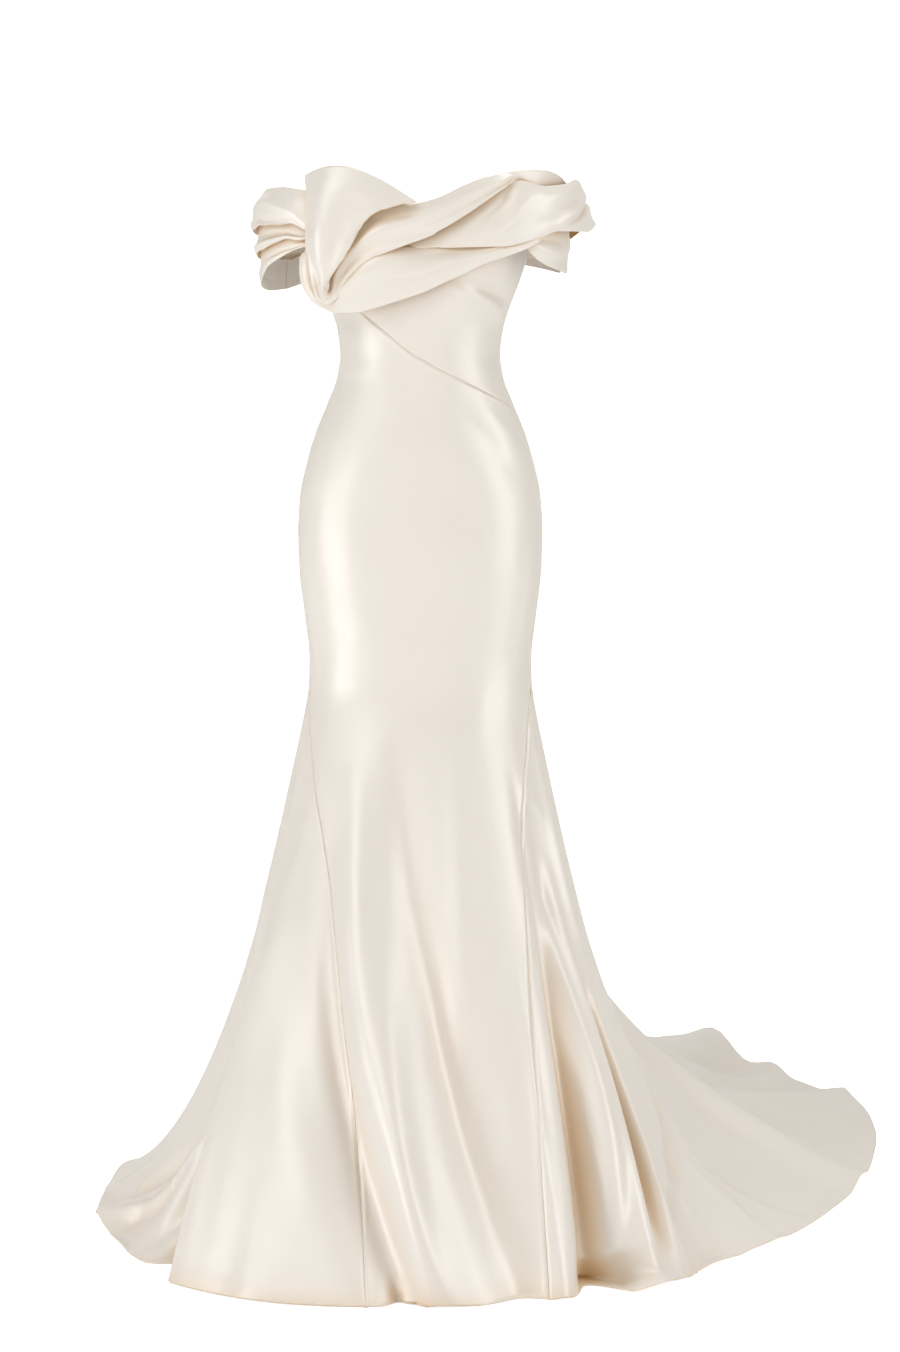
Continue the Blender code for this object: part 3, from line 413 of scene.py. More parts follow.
LOWER_BAND_CREASES = (
    (0.12, 0.4, 0.46, 0.46, 0.14, 0.002, 1.2),
    (0.22, 0.72, 0.66, 0.76, 0.15, 0.0042, 1.2),
    (0.42, 0.52, 0.92, 0.44, 0.13, 0.0036, 1.6),
    (0.38, 0.24, 0.78, 0.2, 0.11, -0.002, 1.3),
    (0.6, 0.8, 0.95, 0.76, 0.12, -0.0024, 1.2),
)
SLEEVE_LEFT_CREASES = (
    (0.05, 0.4, 0.45, 0.3, 0.1, 0.003, 1.6),
    (0.1, 0.62, 0.55, 0.55, 0.1, -0.0026, 1.2),
    (0.3, 0.16, 0.8, 0.22, 0.09, -0.0022, 1.4),
    (0.5, 0.42, 0.98, 0.46, 0.1, 0.0026, 1.4),
)
SLEEVE_RIGHT_CREASES = (
    (0.4, 0.16, 1, 0.24, 0.03, -0.004, 1.5),
    (0.3, 0.08, 0.85, 0.1, 0.03, 0.0034, 1.5),
    (0.55, 0.06, 1, 0.17, 0.022, 0.0024, 1),
    (0.55, 0.46, 1, 0.52, 0.026, -0.003, 1.4),
    (0.35, 0.52, 0.9, 0.56, 0.024, 0.0026, 1.4),
    (0.6, 0.84, 1, 0.9, 0.026, -0.0026, 1.4),
    (0.15, 0.2, 0.6, 0.17, 0.026, 0.0024, 1.2),
    (0.05, 0.88, 0.55, 0.86, 0.026, 0.0026, 1.2),
)
BACK_DRAPE_CREASES = (
    (0.05, 0.14, 0.8, 0.18, 0.028, -0.003, 1.4),
    (0.2, 0.08, 0.95, 0.09, 0.026, 0.0026, 1.3),
    (0.1, 0.54, 0.9, 0.5, 0.026, -0.0024, 1.3),
    (0, 0.86, 0.7, 0.88, 0.026, 0.0022, 1.3),
    (0.35, 0.9, 1, 0.94, 0.024, -0.002, 1.3),
)

# Folded edges of the bands, along the band: share, radius of the roll, turn in half circles,
# width that goes back under. Outer edge first, then inner edge
BUST_FOLD_OUTER = (
    (0, 0.003, 0.9, 0.006), (0.3, 0.0045, 1, 0.012), (0.36, 0.003, 0.8, 0.003),
    (0.48, 0.0026, 0.8, 0.004), (0.8, 0.0018, 0.6, 0.001), (1, 0.0012, 0.5, 0.001),
)
BUST_FOLD_INNER = (
    (0, 0.003, 0.6, 0.001), (0.05, 0.006, 0.9, 0.008), (0.28, 0.0065, 1, 0.01),
    (0.33, 0.003, 0.7, 0.001), (0.45, 0.0014, 0.5, 0), (0.7, 0.0018, 0.5, 0.001),
    (1, 0.0014, 0.5, 0.001),
)
PLAIN_FOLD_EDGE = ((0, 0.0016, 0.5, 0.001), (0.5, 0.0022, 0.55, 0.001), (1, 0.0016, 0.5, 0.001))
OPEN_EDGE = ((0, 0.001, 0.5, 0.0005), (1, 0.001, 0.5, 0.0005))
TAIL_SHARES = (1.0, 0.5)

# Fineness of the cloth
FRONT_COLUMNS = 132
BACK_LEFT_COLUMNS = 150
BACK_RIGHT_COLUMNS = 136
GODET_COLUMNS = 92
FAN_ROWS = 62
LEVEL_ROWS = 60
SKIRT_ROWS = 130
BODICE_ROWS = 70
EDGE_STEPS = (0.0, 0.0007, 0.0014, 0.0022, 0.0032, 0.0045, 0.0062, 0.0085)
EDGE_SHARE = 0.35
HEM_STEPS = (0.0, 0.0012, 0.0025, 0.0045)
ROUGH_LINE_PART = 3
BAND_ROWS = 12
BAND_COLUMNS = 44
WIDEST_FOLD_PART = 3
ROLL_STEPS = 7
PLEAT_ROWS = 130
PLEAT_COLUMNS = 88
LEAST_CUT_SHARE = 0.31

# Seam dips, the welts beside them, puckers, the hem's rounded edge and its turning line
SEAM_SOFTNESS = 0.0021
WELT_RISE = 0.0005
WELT_PLACE = 0.0048
WELT_WIDTH = 0.0022
PUCKER_REACH = 0.010
HEM_ROLL = 0.0012
HEM_WIDTH = 0.022
HEM_STEP = 0.0004
HEM_STEP_SOFTNESS = 0.0012

# Sway of a pleat's edge: size, length of its run, and how far each pleat's start is shifted
PLEAT_SWAY = 0.0022
PLEAT_WAVE = 0.16
PLEAT_SHIFT = 1.9

# Ripples beside a seam: length and share of each sine, then where those of each sine, edge and
# piece start
RIPPLES = ((0.023, 0.30), (0.037, 0.34), (0.058, 0.22), (0.101, 0.14))
RIPPLE_SHIFT = 2.4
EDGE_SHIFT = 1.7
RIPPLE_STARTS = {
    "front_panel": 1.0, "back_left": 2.0, "back_right": 4.0, "bodice_front": 5.0,
    "godet_right": -65.0, "godet_left": 26.2,
}

# Shade of each piece against the dress colour, and how much rougher it is
SATIN_SHADES = {
    "front_panel": (1, 0),
    "bodice_front": (0.995, 0.01),
    "back_left": (0.997, 0.01),
    "back_right": (0.996, 0.01),
    "godet_left": (0.998, 0),
    "godet_right": (1.002, 0),
    "bust_fold": (1.005, -0.01),
    "middle_band": (1.003, -0.01),
    "lower_band": (1.002, 0),
    "sleeve_left": (0.995, 0.01),
    "sleeve_right": (1, 0),
    "back_drape_left": (0.998, 0.01),
    "back_drape_right": (0.998, 0.01),
    "zip_tape": (0.94, 0.2),
}
SATIN_SHINE = {
    "Specular IOR Level": 0.9, "Coat Weight": 0.25, "Coat Roughness": 0.38,
    "Sheen Weight": 0.08, "Sheen Roughness": 0.4,
}
# Painted shade: where ambient occlusion finds the satin closed in, in creases, hollows and under the
# bands, a warm brown is mixed into its colour in place of the shade that falls there. Its reach,
# samples and curve
PAINTED_HOLLOW_SHADE_REACH = 0.045
PAINTED_HOLLOW_SHADE_SAMPLES = 8
PAINTED_HOLLOW_SHADE_CURVE = 1.1
# Painted shade along seams and edges: how near an edge it reaches, and how much of the seam shade
# colour it mixes in
SEAM_SHADE_REACH = 0.0013
SEAM_SHADE = 0.28
YARN_SHADE = 0.05
SLUB_GLOSS = 0.06
RIPPLE_GLOSS = 0.10

# Sockets of the satin's group: kind, and the value of those that no piece sets
SATIN_INPUTS = {
    "Cloth map": ("Vector",), "Place": ("Vector",), "Colour": ("Color",),
    "Seam shade and clouding colour": ("Color",), "Painted hollow shade colour": ("Color",), "Painted hollow shade": ("Float",),
    "Edge distance": ("Float",), "Roughness": ("Float",), "Yarn height": ("Float", 0.00003),
    "Slub height": ("Float", 0.00004), "Cloud height": ("Float", 0.0022),
    "Ripple height": ("Float", 0.012), "Clouding": ("Float", 0.05),
}
SATIN_OUTPUTS = {"Colour": ("Color",), "Roughness": ("Float",), "Height": ("Float",)}

# Grains: stretch of the map, size of the noise, detail
GRAIN_ROUGHNESS = 0.5
YARN_GRAIN = ((1.0, 0.16, 1.0), 2600.0, 1.0)
SLUB_GRAIN = ((1.0, 0.05, 1.0), 620.0, 2.0)
CLOUD_GRAIN = ((1.0, 1.0, 0.55), 15.0, 2.0)
RIPPLE_GRAIN = ((1.0, 1.0, 0.6), 5.0, 1.0)
SCRATCH_GRAIN = ((1.0, 1.0, 0.12), 5200.0, 2.0)
TARNISH_GRAIN = ((1.0, 1.0, 1.0), 420.0, 2.0)

# Zip at the centre back
ZIP_TOP = 1.340
ZIP_FOOT = 0.985
ZIP_ROWS = 180
TAPE_COLUMNS = 25
TAPE_HALF_WIDTH = 0.0104
TAPE_INSET = 0.0021
TOOTH_PITCH = 0.0012
TOOTH_OFFSET = 0.0009
TOOTH_INSET = 0.0037
TOOTH_SIZE = (0.0017, 0.00055, 0.00045)
TOOTH_SIDES = 10
TOOTH_RINGS = 5
METAL_BEVEL = 0.00025
METAL_BEVEL_STEPS = 3
METAL_ROUGHNESS = 0.14
SCRATCH_DULLNESS = 0.22
TARNISH_DULLNESS = 0.10
SCRATCH_DEPTH = 0.000004

# Studio, with places measured from the waist: lamp, place, aim, size, power in watts, colour
LAMPS = (
    ("key lamp", (-2.3, -3.1, 2.6), (0.0, 0.0, -0.35), (2.1, 2.1), 69.0, (1.0, 1.0, 1.0)),
    ("front lamp", (0.1, -4.7, 0.5), (0.0, 0.0, -0.4), (2.6, 2.6), 14.0, (1.0, 0.86, 0.69)),
    ("left strip lamp", (-3.2, -1.9, -0.4), (-0.6, 0.1, -1.05), (1.4, 1.6), 52.0, (1.0, 1.0, 1.0)),
    ("right strip lamp", (3.0, -1.7, 0.5), (0.0, 0.0, -0.35), (1.3, 2.9), 62.0, (1.0, 1.0, 1.0)),
    ("top lamp", (0.6, 0.6, 3.3), (0.3, 0.5, -0.8), (1.6, 1.2), 54.0, (1.0, 1.0, 1.0)),
    ("back lamp", (-0.8, 2.9, 2.4), (0.0, 0.5, -0.8), (2.0, 2.0), 16.0, (1.0, 1.0, 1.0)),
)
AIR_LIGHT = 0.21
AIR_COLOUR = (1.0, 0.86, 0.68)
WHITE = (1.0, 1.0, 1.0, 1.0)
FLOOR_ROUGHNESS = 0.9
FLOOR_SPECULAR = 0.1
FLOOR_GLOW = 0.07
FLOOR_SEEN_GLOW = 0.75
STAGE_FRONT = -7.0
STAGE_BACK = 3.2
STAGE_CURVE = 1.6
STAGE_CURVE_STEPS = 24
STAGE_HEIGHT = 6.0
STAGE_HALF_WIDTH = 9.0
CAMERA_PLACE = (0.0404, -4.41, -0.0245)
CAMERA_DIP = 5.23
CAMERA_LENS = 86.11
CAMERA_REACH = 100.0


def through(stations, values, at):
    """Monotone cubic curve through the values at rising stations, level past both ends."""
    stations, values = np.asarray(stations, float), np.asarray(values, float)
    step = np.diff(stations)
    rise = np.diff(values) / step
    slope = np.zeros(len(stations))
    product, total = rise[:-1] * rise[1:], rise[:-1] + rise[1:]
    slope[1:-1] = np.divide(2 * product, total, out=np.zeros(len(product)), where=product > 0)
    slope[0], slope[-1] = rise[0], rise[-1]
    k = np.clip(np.searchsorted(stations, at, side="right") - 1, 0, len(step) - 1)
    t = np.clip((at - stations[k]) / step[k], 0.0, 1.0)
    level = values[k] * (1 + 2 * t) * (1 - t) ** 2 + values[k + 1] * t * t * (3 - 2 * t)
    return level + step[k] * t * (1 - t) * (slope[k] * (1 - t) - slope[k + 1] * t)


def along(table, at, column=1):
    """The curve through one column of a table, against its first column."""
    rows = np.array(table)
    return through(rows[:, 0], rows[:, column], at)


def all_round(table, angle, column):
    """The same curve for a table of angles that closes on itself."""
    rows = np.array(table)
    turn = np.zeros(rows.shape[1])
    turn[0] = 360.0
    rows = np.concatenate([rows[-2:] - turn, rows, rows[:2] + turn])
    turned = (np.asarray(angle) - table[0][0]) % 360.0 + table[0][0]
    return through(rows[:, 0], rows[:, column], turned)


def turned_to(angle):
    """The angle brought to the half turn either side of the centre front."""
    return (angle + 180.0) % 360.0 - 180.0


def ring_point(sections, angle, height):
    """Point of a rounded ellipse: half width times the sine and depth times the cosine of the
    angle, each to the power two over the roundness, with sizes that follow the height."""
    wide, front, back = (along(sections, height, column) for column in (1, 2, 3))
    turn = np.radians(angle)
    side, face = np.sin(turn), np.cos(turn)
    x = wide * np.sign(side) * np.abs(side) ** (2 / ROUNDNESS)
    y = -np.where(face > 0, front, back) * np.sign(face) * np.abs(face) ** (2 / ROUNDNESS)
    return np.stack([x, y, height + 0 * x], -1)


def body_point(angle, height):
    """Point of the fitted part: the ring, with two bell-shaped cups added in front."""
    point = ring_point(BODY_SECTIONS, angle, height)
    off_x = (np.abs(point[..., 0]) - CUP_CENTRE) / CUP_SPREAD
    off_z = (point[..., 2] - CUP_HEIGHT) / CUP_SPREAD
    facing = np.clip(np.cos(np.radians(angle)), 0, 1)
    point[..., 1] -= CUP_RISE * facing * np.exp(-off_x ** 2 - off_z ** 2)
    return point


def flare_way(angle):
    """Where the flare starts on the knee ring, its level way to the hem and how far that is."""
    knee = body_point(angle, np.full(np.shape(angle), KNEE_HEIGHT))[..., :2]
    reach, turn = all_round(FLARE, angle, 1), np.radians(angle)
    hem = np.stack([reach * np.sin(turn), -reach * np.cos(turn)], -1)
    run = np.linalg.norm(hem - knee, axis=-1)
    return knee, (hem - knee) / run[..., None], run


def knee_fillet(angle, height):
    """How far the turn at the knee is eased outwards: half the flare's slope times what the
    hypotenuse of the height off the knee and the softness has over that height."""
    off = np.abs(height - KNEE_HEIGHT)
    return 0.5 * all_round(FLARE, angle, 2) * (np.hypot(off, KNEE_SOFTNESS) - off)


def bell(off, width):
    """A bell: e to minus the square of the offset over its half width."""
    return np.exp(-(off / width) ** 2)


def fold_height(angle, down):
    """Sum of bells across the skirt. Each fold grows from where it starts; each crease rises and
    falls as a half sine between its two ends."""
    total = np.zeros(np.shape(angle))
    for start, top, end, wide_top, wide_end, rise, kept in FOLDS:
        share = np.clip((down - start) / (1 - start), 0, 1)
        centre = top + (end - top) * share ** FOLD_DRIFT
        size = rise * share ** FOLD_GROWTH * (1 - (1 - kept) * share ** 4)
        total = total + size * bell(turned_to(angle - centre), wide_top + (wide_end - wide_top) * share)
    depth = bpy.context.scene.dress_sizes.crease_depth
    for start, stop, top, end, wide_top, wide_end, rise in SKIRT_CREASES:
        share = np.clip((down - start) / (stop - start), 0, 1)
        centre = top + (end - top) * share
        size = depth * rise * np.sin(np.pi * share)
        total = total + size * bell(turned_to(angle - centre), wide_top + (wide_end - wide_top) * share)
    return total


def skirt_point(angle, down):
    """Point of the flared part: a cubic from the knee ring to the hem whose slope is held at both
    ends, plus the folds along its outward side, eased onto the floor where it would go below."""
    angle, down = np.broadcast_arrays(np.asarray(angle, float), np.asarray(down, float))
    slope, hold, floor_angle, floor_hold = (all_round(FLARE, angle, k) for k in range(2, 6))
    knee, way, run = flare_way(angle)
    lean = np.radians(floor_angle)
    outs = [0 * run, slope * hold, run - np.cos(lean) * floor_hold, run]
    ups = [
        KNEE_HEIGHT + 0 * run, KNEE_HEIGHT - hold,
        FLOOR_GAP + np.sin(lean) * floor_hold, FLOOR_GAP + 0 * run,
    ]
    weights = [(1 - down) ** 3, 3 * down * (1 - down) ** 2, 3 * down ** 2 * (1 - down), down ** 3]
    rates = [3 * (1 - down) ** 2, 6 * down * (1 - down), 3 * down ** 2]
    out = sum(w * p for w, p in zip(weights, outs))
    up = sum(w * p for w, p in zip(weights, ups))
    out_rate = sum(w * (outs[k + 1] - outs[k]) for k, w in enumerate(rates))
    up_rate = sum(w * (ups[k + 1] - ups[k]) for k, w in enumerate(rates))
    size = np.hypot(out_rate, up_rate)
    lift = fold_height(angle, down)
    out = out - up_rate / size * lift
    up = up + out_rate / size * lift
    above = up - FLOOR_GAP
    up = FLOOR_GAP + 0.5 * (above + np.sqrt(above ** 2 + FLOOR_BEND ** 2)) - (
        0.5 * FLOOR_BEND * np.exp(-np.abs(above) / FLOOR_BEND)
    )
    plan = knee + way * (out + knee_fillet(angle, up))[..., None]
    return np.concatenate([plan, up[..., None]], -1)


def yoke_point(angle, height, stand):
    """Point on the neckline's ring, moved out level by the stand-off."""
    point = ring_point(YOKE_SECTIONS, angle, height)
    ahead = ring_point(YOKE_SECTIONS, angle + YOKE_STEP, height)
    behind = ring_point(YOKE_SECTIONS, angle - YOKE_STEP, height)
    tangent = ahead - behind
    outward = np.stack([tangent[..., 1], -tangent[..., 0], 0 * tangent[..., 0]], -1)
    outward = outward / np.linalg.norm(outward, axis=-1)[..., None]
    return point + outward * np.asarray(stand)[..., None]


def normals(grid):
    """Outward normals of a grid whose first way runs round the body and whose second runs down."""
    normal = np.cross(np.gradient(grid, axis=1), np.gradient(grid, axis=0))
    return normal / (np.linalg.norm(normal, axis=-1)[..., None] + SMALL)


def lengths(grid, axis):
    """Length of the cloth from the grid's start to each point, along one axis."""
    steps = np.linalg.norm(np.diff(grid, axis=axis), axis=-1)
    total = np.cumsum(steps, axis=axis)
    start = np.zeros_like(np.take(total, [0], axis=axis))
    return np.concatenate([start, total], axis=axis)


def close_steps(width):
    """Shares of a few close steps from an edge, squeezed together where the width is small."""
    squeeze = np.minimum(1.0, EDGE_SHARE * width / EDGE_STEPS[-1])
    return np.array(EDGE_STEPS)[:, None] * squeeze / width


def edge_shares(width, count):
    """Shares across a width: a few close steps at each edge, then even steps between them."""
    near = close_steps(width)
    between = np.linspace(0, 1, count + 3 - 2 * len(EDGE_STEPS))[1:-1, None]
    return np.concatenate([near, near[-1] + (1 - 2 * near[-1]) * between, 1 - near[::-1]])


def top_shares(length, count):
    """Shares down a length: a few close steps at the top, then even steps short of its foot."""
    near = close_steps(length)
    between = np.linspace(0, 1, count + 2 - len(EDGE_STEPS))[1:-1, None]
    return np.concatenate([near, near[-1] + (1 - near[-1]) * between])


def skirt_shares():
    """Shares down the skirt: even steps, then a few close ones at the hem."""
    return np.concatenate([np.linspace(0, 1, SKIRT_ROWS)[:-1], 1 - np.array(HEM_STEPS[::-1])])


def between_seams(surface, first, last, stations, columns):
    """Grid on a surface from one seam to the other, each drawn in by the seam gap, with columns
    closer together near the seams. Stations may change from column to column."""
    stations = np.asarray(stations, float)
    near = stations if stations.ndim == 1 else stations[0]
    far = stations if stations.ndim == 1 else stations[-1]
    edges = []
    for line, station, inward in ((first, near, 1), (last, far, -1)):
        angle = line(station)
        stride = surface(angle + ANGLE_STEP, station) - surface(angle - ANGLE_STEP, station)
        edges.append(angle + inward * SEAM_GAP * 2 * ANGLE_STEP / np.linalg.norm(stride, axis=-1))
    rough = np.linspace(0, 1, columns // ROUGH_LINE_PART)[:, None]
    line = surface(edges[0] + (edges[1] - edges[0]) * rough, near + (far - near) * rough)
    share = edge_shares(lengths(line, 0)[-1], columns)
    angle = edges[0] + (edges[1] - edges[0]) * share
    return surface(angle, stations + 0 * share)


def waves(along_seam, start):
    """Uneven ripples along a seam: sines of unlike lengths, each with its own start."""
    total = np.zeros_like(along_seam)
    for k, (length, size) in enumerate(RIPPLES):
        total = total + size * np.sin(2 * np.pi * along_seam / length + start + RIPPLE_SHIFT * k)
    return total


def sewn_edges(grid, start, hemmed):
    """Pulls a panel's edges in: a soft dip into each seam, uneven puckers beside it, and a rounded
    turn at a free edge. Returns the grid and each point's distance from the nearest edge."""
    sizes = bpy.context.scene.dress_sizes
    across, down = lengths(grid, 0), lengths(grid, 1)
    last, foot = across[-1:] - across, down[:, -1:] - down
    inward = np.zeros(grid.shape[:2])
    for k, (distance, run) in enumerate(((across, down), (last, down), (down, across))):
        inward += sizes.seam_dip * bell(distance, SEAM_SOFTNESS)
        inward -= WELT_RISE * bell(distance - WELT_PLACE, WELT_WIDTH)
        inward += sizes.pucker * (waves(run, start + EDGE_SHIFT * k) * bell(distance, PUCKER_REACH))
    if hemmed:
        inward += HEM_ROLL * np.clip(1 - foot / HEM_ROLL, 0, 1) ** 2
        inward -= HEM_STEP * (0.5 + 0.5 * np.tanh((HEM_WIDTH - foot) / HEM_STEP_SOFTNESS))
    else:
        inward += sizes.seam_dip * bell(foot, SEAM_SOFTNESS)
    near = np.minimum(np.minimum(across, last), down if hemmed else np.minimum(down, foot))
    return grid - normals(grid) * inward[..., None], near


def creased_body(angle, height):
    """Point of the fitted part with its creases: each is a bell across a line between two points,
    fading as a half sine towards both ends."""
    point = body_point(angle, height)
    turn = np.radians(angle)
    outward = np.stack([np.sin(turn), -np.cos(turn), 0 * turn], -1)
    depth = bpy.context.scene.dress_sizes.crease_depth
    total = np.zeros(np.shape(point)[:-1])
    for angle_a, height_a, angle_b, height_b, half, rise, wider in BODY_CREASES:
        run = np.array([(angle_b - angle_a) * METRES_PER_DEGREE, height_b - height_a])
        reach = np.hypot(*run)
        x = turned_to(angle - angle_a) * METRES_PER_DEGREE
        z = point[..., 2] - height_a
        share = np.clip((x * run[0] + z * run[1]) / reach ** 2, 0, 1)
        off = (x * run[1] - z * run[0]) / reach * np.sign(run[0])
        width = np.where(off > 0, half * wider, half)
        total += depth * rise * np.sin(np.pi * share) * bell(off, width)
    point = point + outward * total[..., None]
    point[..., :2] += flare_way(angle)[1] * knee_fillet(angle, point[..., 2])[..., None]
    return point


def panel(columns, crest, above, below, start):
    """A long panel: rows that fan from its top line to one height, level rows to the knee, then
    rows by share of the skirt to the hem."""

    def fan(angle, fall):
        top = crest(angle)
        return creased_body(angle, top + (FAN_HEIGHT - top) * fall)

    first, last = (edge(np.array([FAN_HEIGHT])) for edge in above)
    spread = edge_shares((last - first) * METRES_PER_DEGREE, columns)[:, 0]
    falls = top_shares(crest(first + (last - first) * spread) - FAN_HEIGHT, FAN_ROWS).T
    level = [lambda station, edge=edge: edge(FAN_HEIGHT + 0 * station) for edge in above]
    heights = np.linspace(FAN_HEIGHT, KNEE_HEIGHT, LEVEL_ROWS, endpoint=False)
    grid = np.concatenate([
        between_seams(fan, *level, falls, columns),
        between_seams(creased_body, *above, heights, columns),
        between_seams(skirt_point, *below, skirt_shares(), columns),
    ], 1)
    return sewn_edges(grid, start, hemmed=True)


def crease_height(along_share, across_share, creases):
    """Sum of creases on a band, each a bell across the line between its two ends and a half sine
    along it, with one side wider than the other."""
    depth = bpy.context.scene.dress_sizes.crease_depth
    total = np.zeros(np.broadcast(along_share, across_share).shape)
    for start, start_across, end, end_across, half, rise, wider in creases:
        share = (along_share - start) / (end - start)
        off = across_share - (start_across + (end_across - start_across) * share)
        width = np.where(off > 0, half * wider, half)
        window = np.sin(np.pi * np.clip(share, 0, 1))
        total = total + depth * rise * window * bell(off, width)
    return total


def band_grid(table, creases):
    """A neckline band: lines from an outer to an inner edge, humped by a half sine, with the creases
    standing off along its normals. The grid's first way runs along the band, its second across."""
    rows = np.array(table)
    count = (len(rows) - 1) * BAND_ROWS + 1
    station = np.linspace(0, len(rows) - 1, count)
    columns = [through(np.arange(len(rows)), rows[:, k], station) for k in range(rows.shape[1])]
    a_angle, a_height, a_stand, b_angle, b_height, b_stand, crown, bow = (c[:, None] for c in columns)
    t = np.linspace(0, 1, BAND_COLUMNS + 1)[None, :]
    hump = np.sin(np.pi * t)
    angle = a_angle + (b_angle - a_angle) * t
    height = a_height + (b_height - a_height) * t + bow * hump
    stand = a_stand + (b_stand - a_stand) * t + crown * hump
    grid = yoke_point(angle, height, stand)
    lift = crease_height(np.linspace(0, 1, count)[:, None], t, creases)
    return grid - normals(grid) * lift[..., None]


def folded_edge(grid, outward, edge):
    """The extra columns of a folded edge: part of a circle from the cloth's face round its fold,
    then a short width straight back under. Radius, turn and width follow a table along the edge."""
    share = np.linspace(0, 1, len(grid))
    radius, turn, under = (along(edge, share, k)[:, None, None] for k in (1, 2, 3))
    run = lengths(grid, 1)
    inside = np.clip((run < radius[..., 0]).sum(1), 1, grid.shape[1] // WIDEST_FOLD_PART)
    rows = np.arange(len(grid))
    face, up = grid[rows, inside][:, None], outward[rows, inside][:, None]
    way = face - grid[:, :1]
    way = way / (np.linalg.norm(way, axis=-1)[..., None] + SMALL)
    theta = np.pi * turn * np.linspace(1, 0, ROLL_STEPS)[None, :, None]
    roll = face - up * radius + radius * (np.cos(theta) * up - np.sin(theta) * way)
    tail_way = np.cos(np.pi * turn) * -way - np.sin(np.pi * turn) * up
    tail = roll[:, :1] + tail_way * under * np.array(TAIL_SHARES)[None, :, None]
    return np.concatenate([tail, roll[:, :-1]], 1), inside


def folded(grid, outer, inner):
    """A band with both long edges folded under."""
    outward = -normals(grid)
    first, first_inside = folded_edge(grid, outward, outer)
    last, last_inside = folded_edge(grid[:, ::-1], outward[:, ::-1], inner)
    count = grid.shape[1]
    share = np.linspace(0, 1, count)[None, :]
    station = first_inside[:, None] + (count - 1 - last_inside - first_inside)[:, None] * share
    low = np.clip(np.floor(station).astype(int), 0, count - 2)
    part = (station - low)[..., None]
    rows = np.arange(len(grid))[:, None]
    middle = grid[rows, low] * (1 - part) + grid[rows, low + 1] * part
    return np.concatenate([first, middle, last[:, ::-1]], 1)


def pleated_grid(table, creases):
    """A pleated band: a smooth line through the pleat profile's points at each angle, so that each
    fold is round, with the creases standing off along its normals."""
    rows = np.array(table)
    angle = np.linspace(rows[0, 0], rows[-1, 0], PLEAT_ROWS)[:, None]
    lines = [along(rows, angle, column) for column in (1, 2, 3, 4)]
    base = along(rows, angle, 5)
    share = np.linspace(0, 1, PLEAT_ROWS)[:, None]
    last = len(PLEAT_PROFILE) - 1
    heights, stands = [], []
    for k, (line, part, rise, stand) in enumerate(PLEAT_PROFILE):
        upper, lower = lines[line], lines[line + 1]
        sway = PLEAT_SWAY * waves(share * PLEAT_WAVE, PLEAT_SHIFT * line) * part * (k < last)
        heights.append(upper + (lower - upper) * part + rise + sway)
        stands.append(base + stand)
    points = np.concatenate([np.stack([h, s], -1) for h, s in zip(heights, stands)], 1)
    at = np.linspace(0, last, PLEAT_COLUMNS + 1)
    low = np.clip(np.floor(at).astype(int), 0, last - 1)
    t = (at - low)[None, :, None]
    before, after = np.clip(low - 1, 0, last), np.clip(low + 2, 0, last)
    slope_a = (points[:, low + 1] - points[:, before]) / 2
    slope_b = (points[:, after] - points[:, low]) / 2
    line = (
        points[:, low] * (1 + 2 * t) * (1 - t) ** 2 + points[:, low + 1] * t * t * (3 - 2 * t)
        + t * (1 - t) * (slope_a * (1 - t) - slope_b * t)
    )
    grid = yoke_point(angle + 0 * line[..., 0], line[..., 0], line[..., 1])
    lift = crease_height(share, np.linspace(0, 1, PLEAT_COLUMNS + 1)[None, :], creases)
    return grid + normals(grid) * lift[..., None]


def new_object(name, points, faces, material):
    """A smooth mesh object in the scene."""
    mesh = bpy.data.meshes.new(name)
    mesh.from_pydata(points.tolist(), [], faces)
    mesh.shade_smooth()
    mesh.materials.append(material)
    made = bpy.data.objects.new(name, mesh)
    bpy.context.scene.collection.objects.link(made)
    return made


def gown_piece(name, points, faces, material):
    """A piece of the gown, from points with heights above the floor, attached to the gown's body."""
    piece = new_object(name, points - (0, 0, WAIST_HEIGHT), faces, material)
    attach(piece, "gown")
    return piece


def thin_cloth(name, grid, node, down_first, near=None):
    """A thin sheet of cloth on a grid of points, which are its outer face. The map of the cloth is
    in metres along both ways of the grid, and a second value holds the distance to the edge."""
    rows, columns = grid.shape[:2]
    index = np.arange(rows * columns).reshape(rows, columns)
    here, next_row, next_column = index[:-1, :-1], index[1:, :-1], index[:-1, 1:]
    order = (next_column, index[1:, 1:], next_row)
    faces = np.stack((here, *(order if down_first else order[::-1])), -1).reshape(-1, 4)
    piece = gown_piece(name, grid.reshape(-1, 3), faces.tolist(), satin(name, node))
    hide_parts(node)

    across, down = lengths(grid, 0), lengths(grid, 1)
    flat = np.stack([across - across[-1:] / 2, down], -1).reshape(-1, 2)
    layer = piece.data.uv_layers.new(name="cloth")
    layer.uv.foreach_set("vector", flat[faces.reshape(-1)].astype(np.float32).reshape(-1))
    near = np.full((rows, columns), FAR_AWAY) if near is None else near
    edge = piece.data.attributes.new("edge_distance", "FLOAT", "POINT")
    edge.data.foreach_set("value", near.astype(np.float32).reshape(-1))

    wall = piece.modifiers.new("cloth thickness", "SOLIDIFY")
    wall.thickness = bpy.context.scene.dress_sizes.cloth_thickness
    wall.offset = -1.0

    width, length = across[-1].max(), down[:, -1].max()
    corner = grid[1:, 1:] - grid[:-1, :-1], grid[1:, :-1] - grid[:-1, 1:]
    area = np.linalg.norm(np.cross(*corner), axis=-1).sum() / 2
    area = float(np.clip(area, LEAST_CUT_SHARE * width * length, width * length))


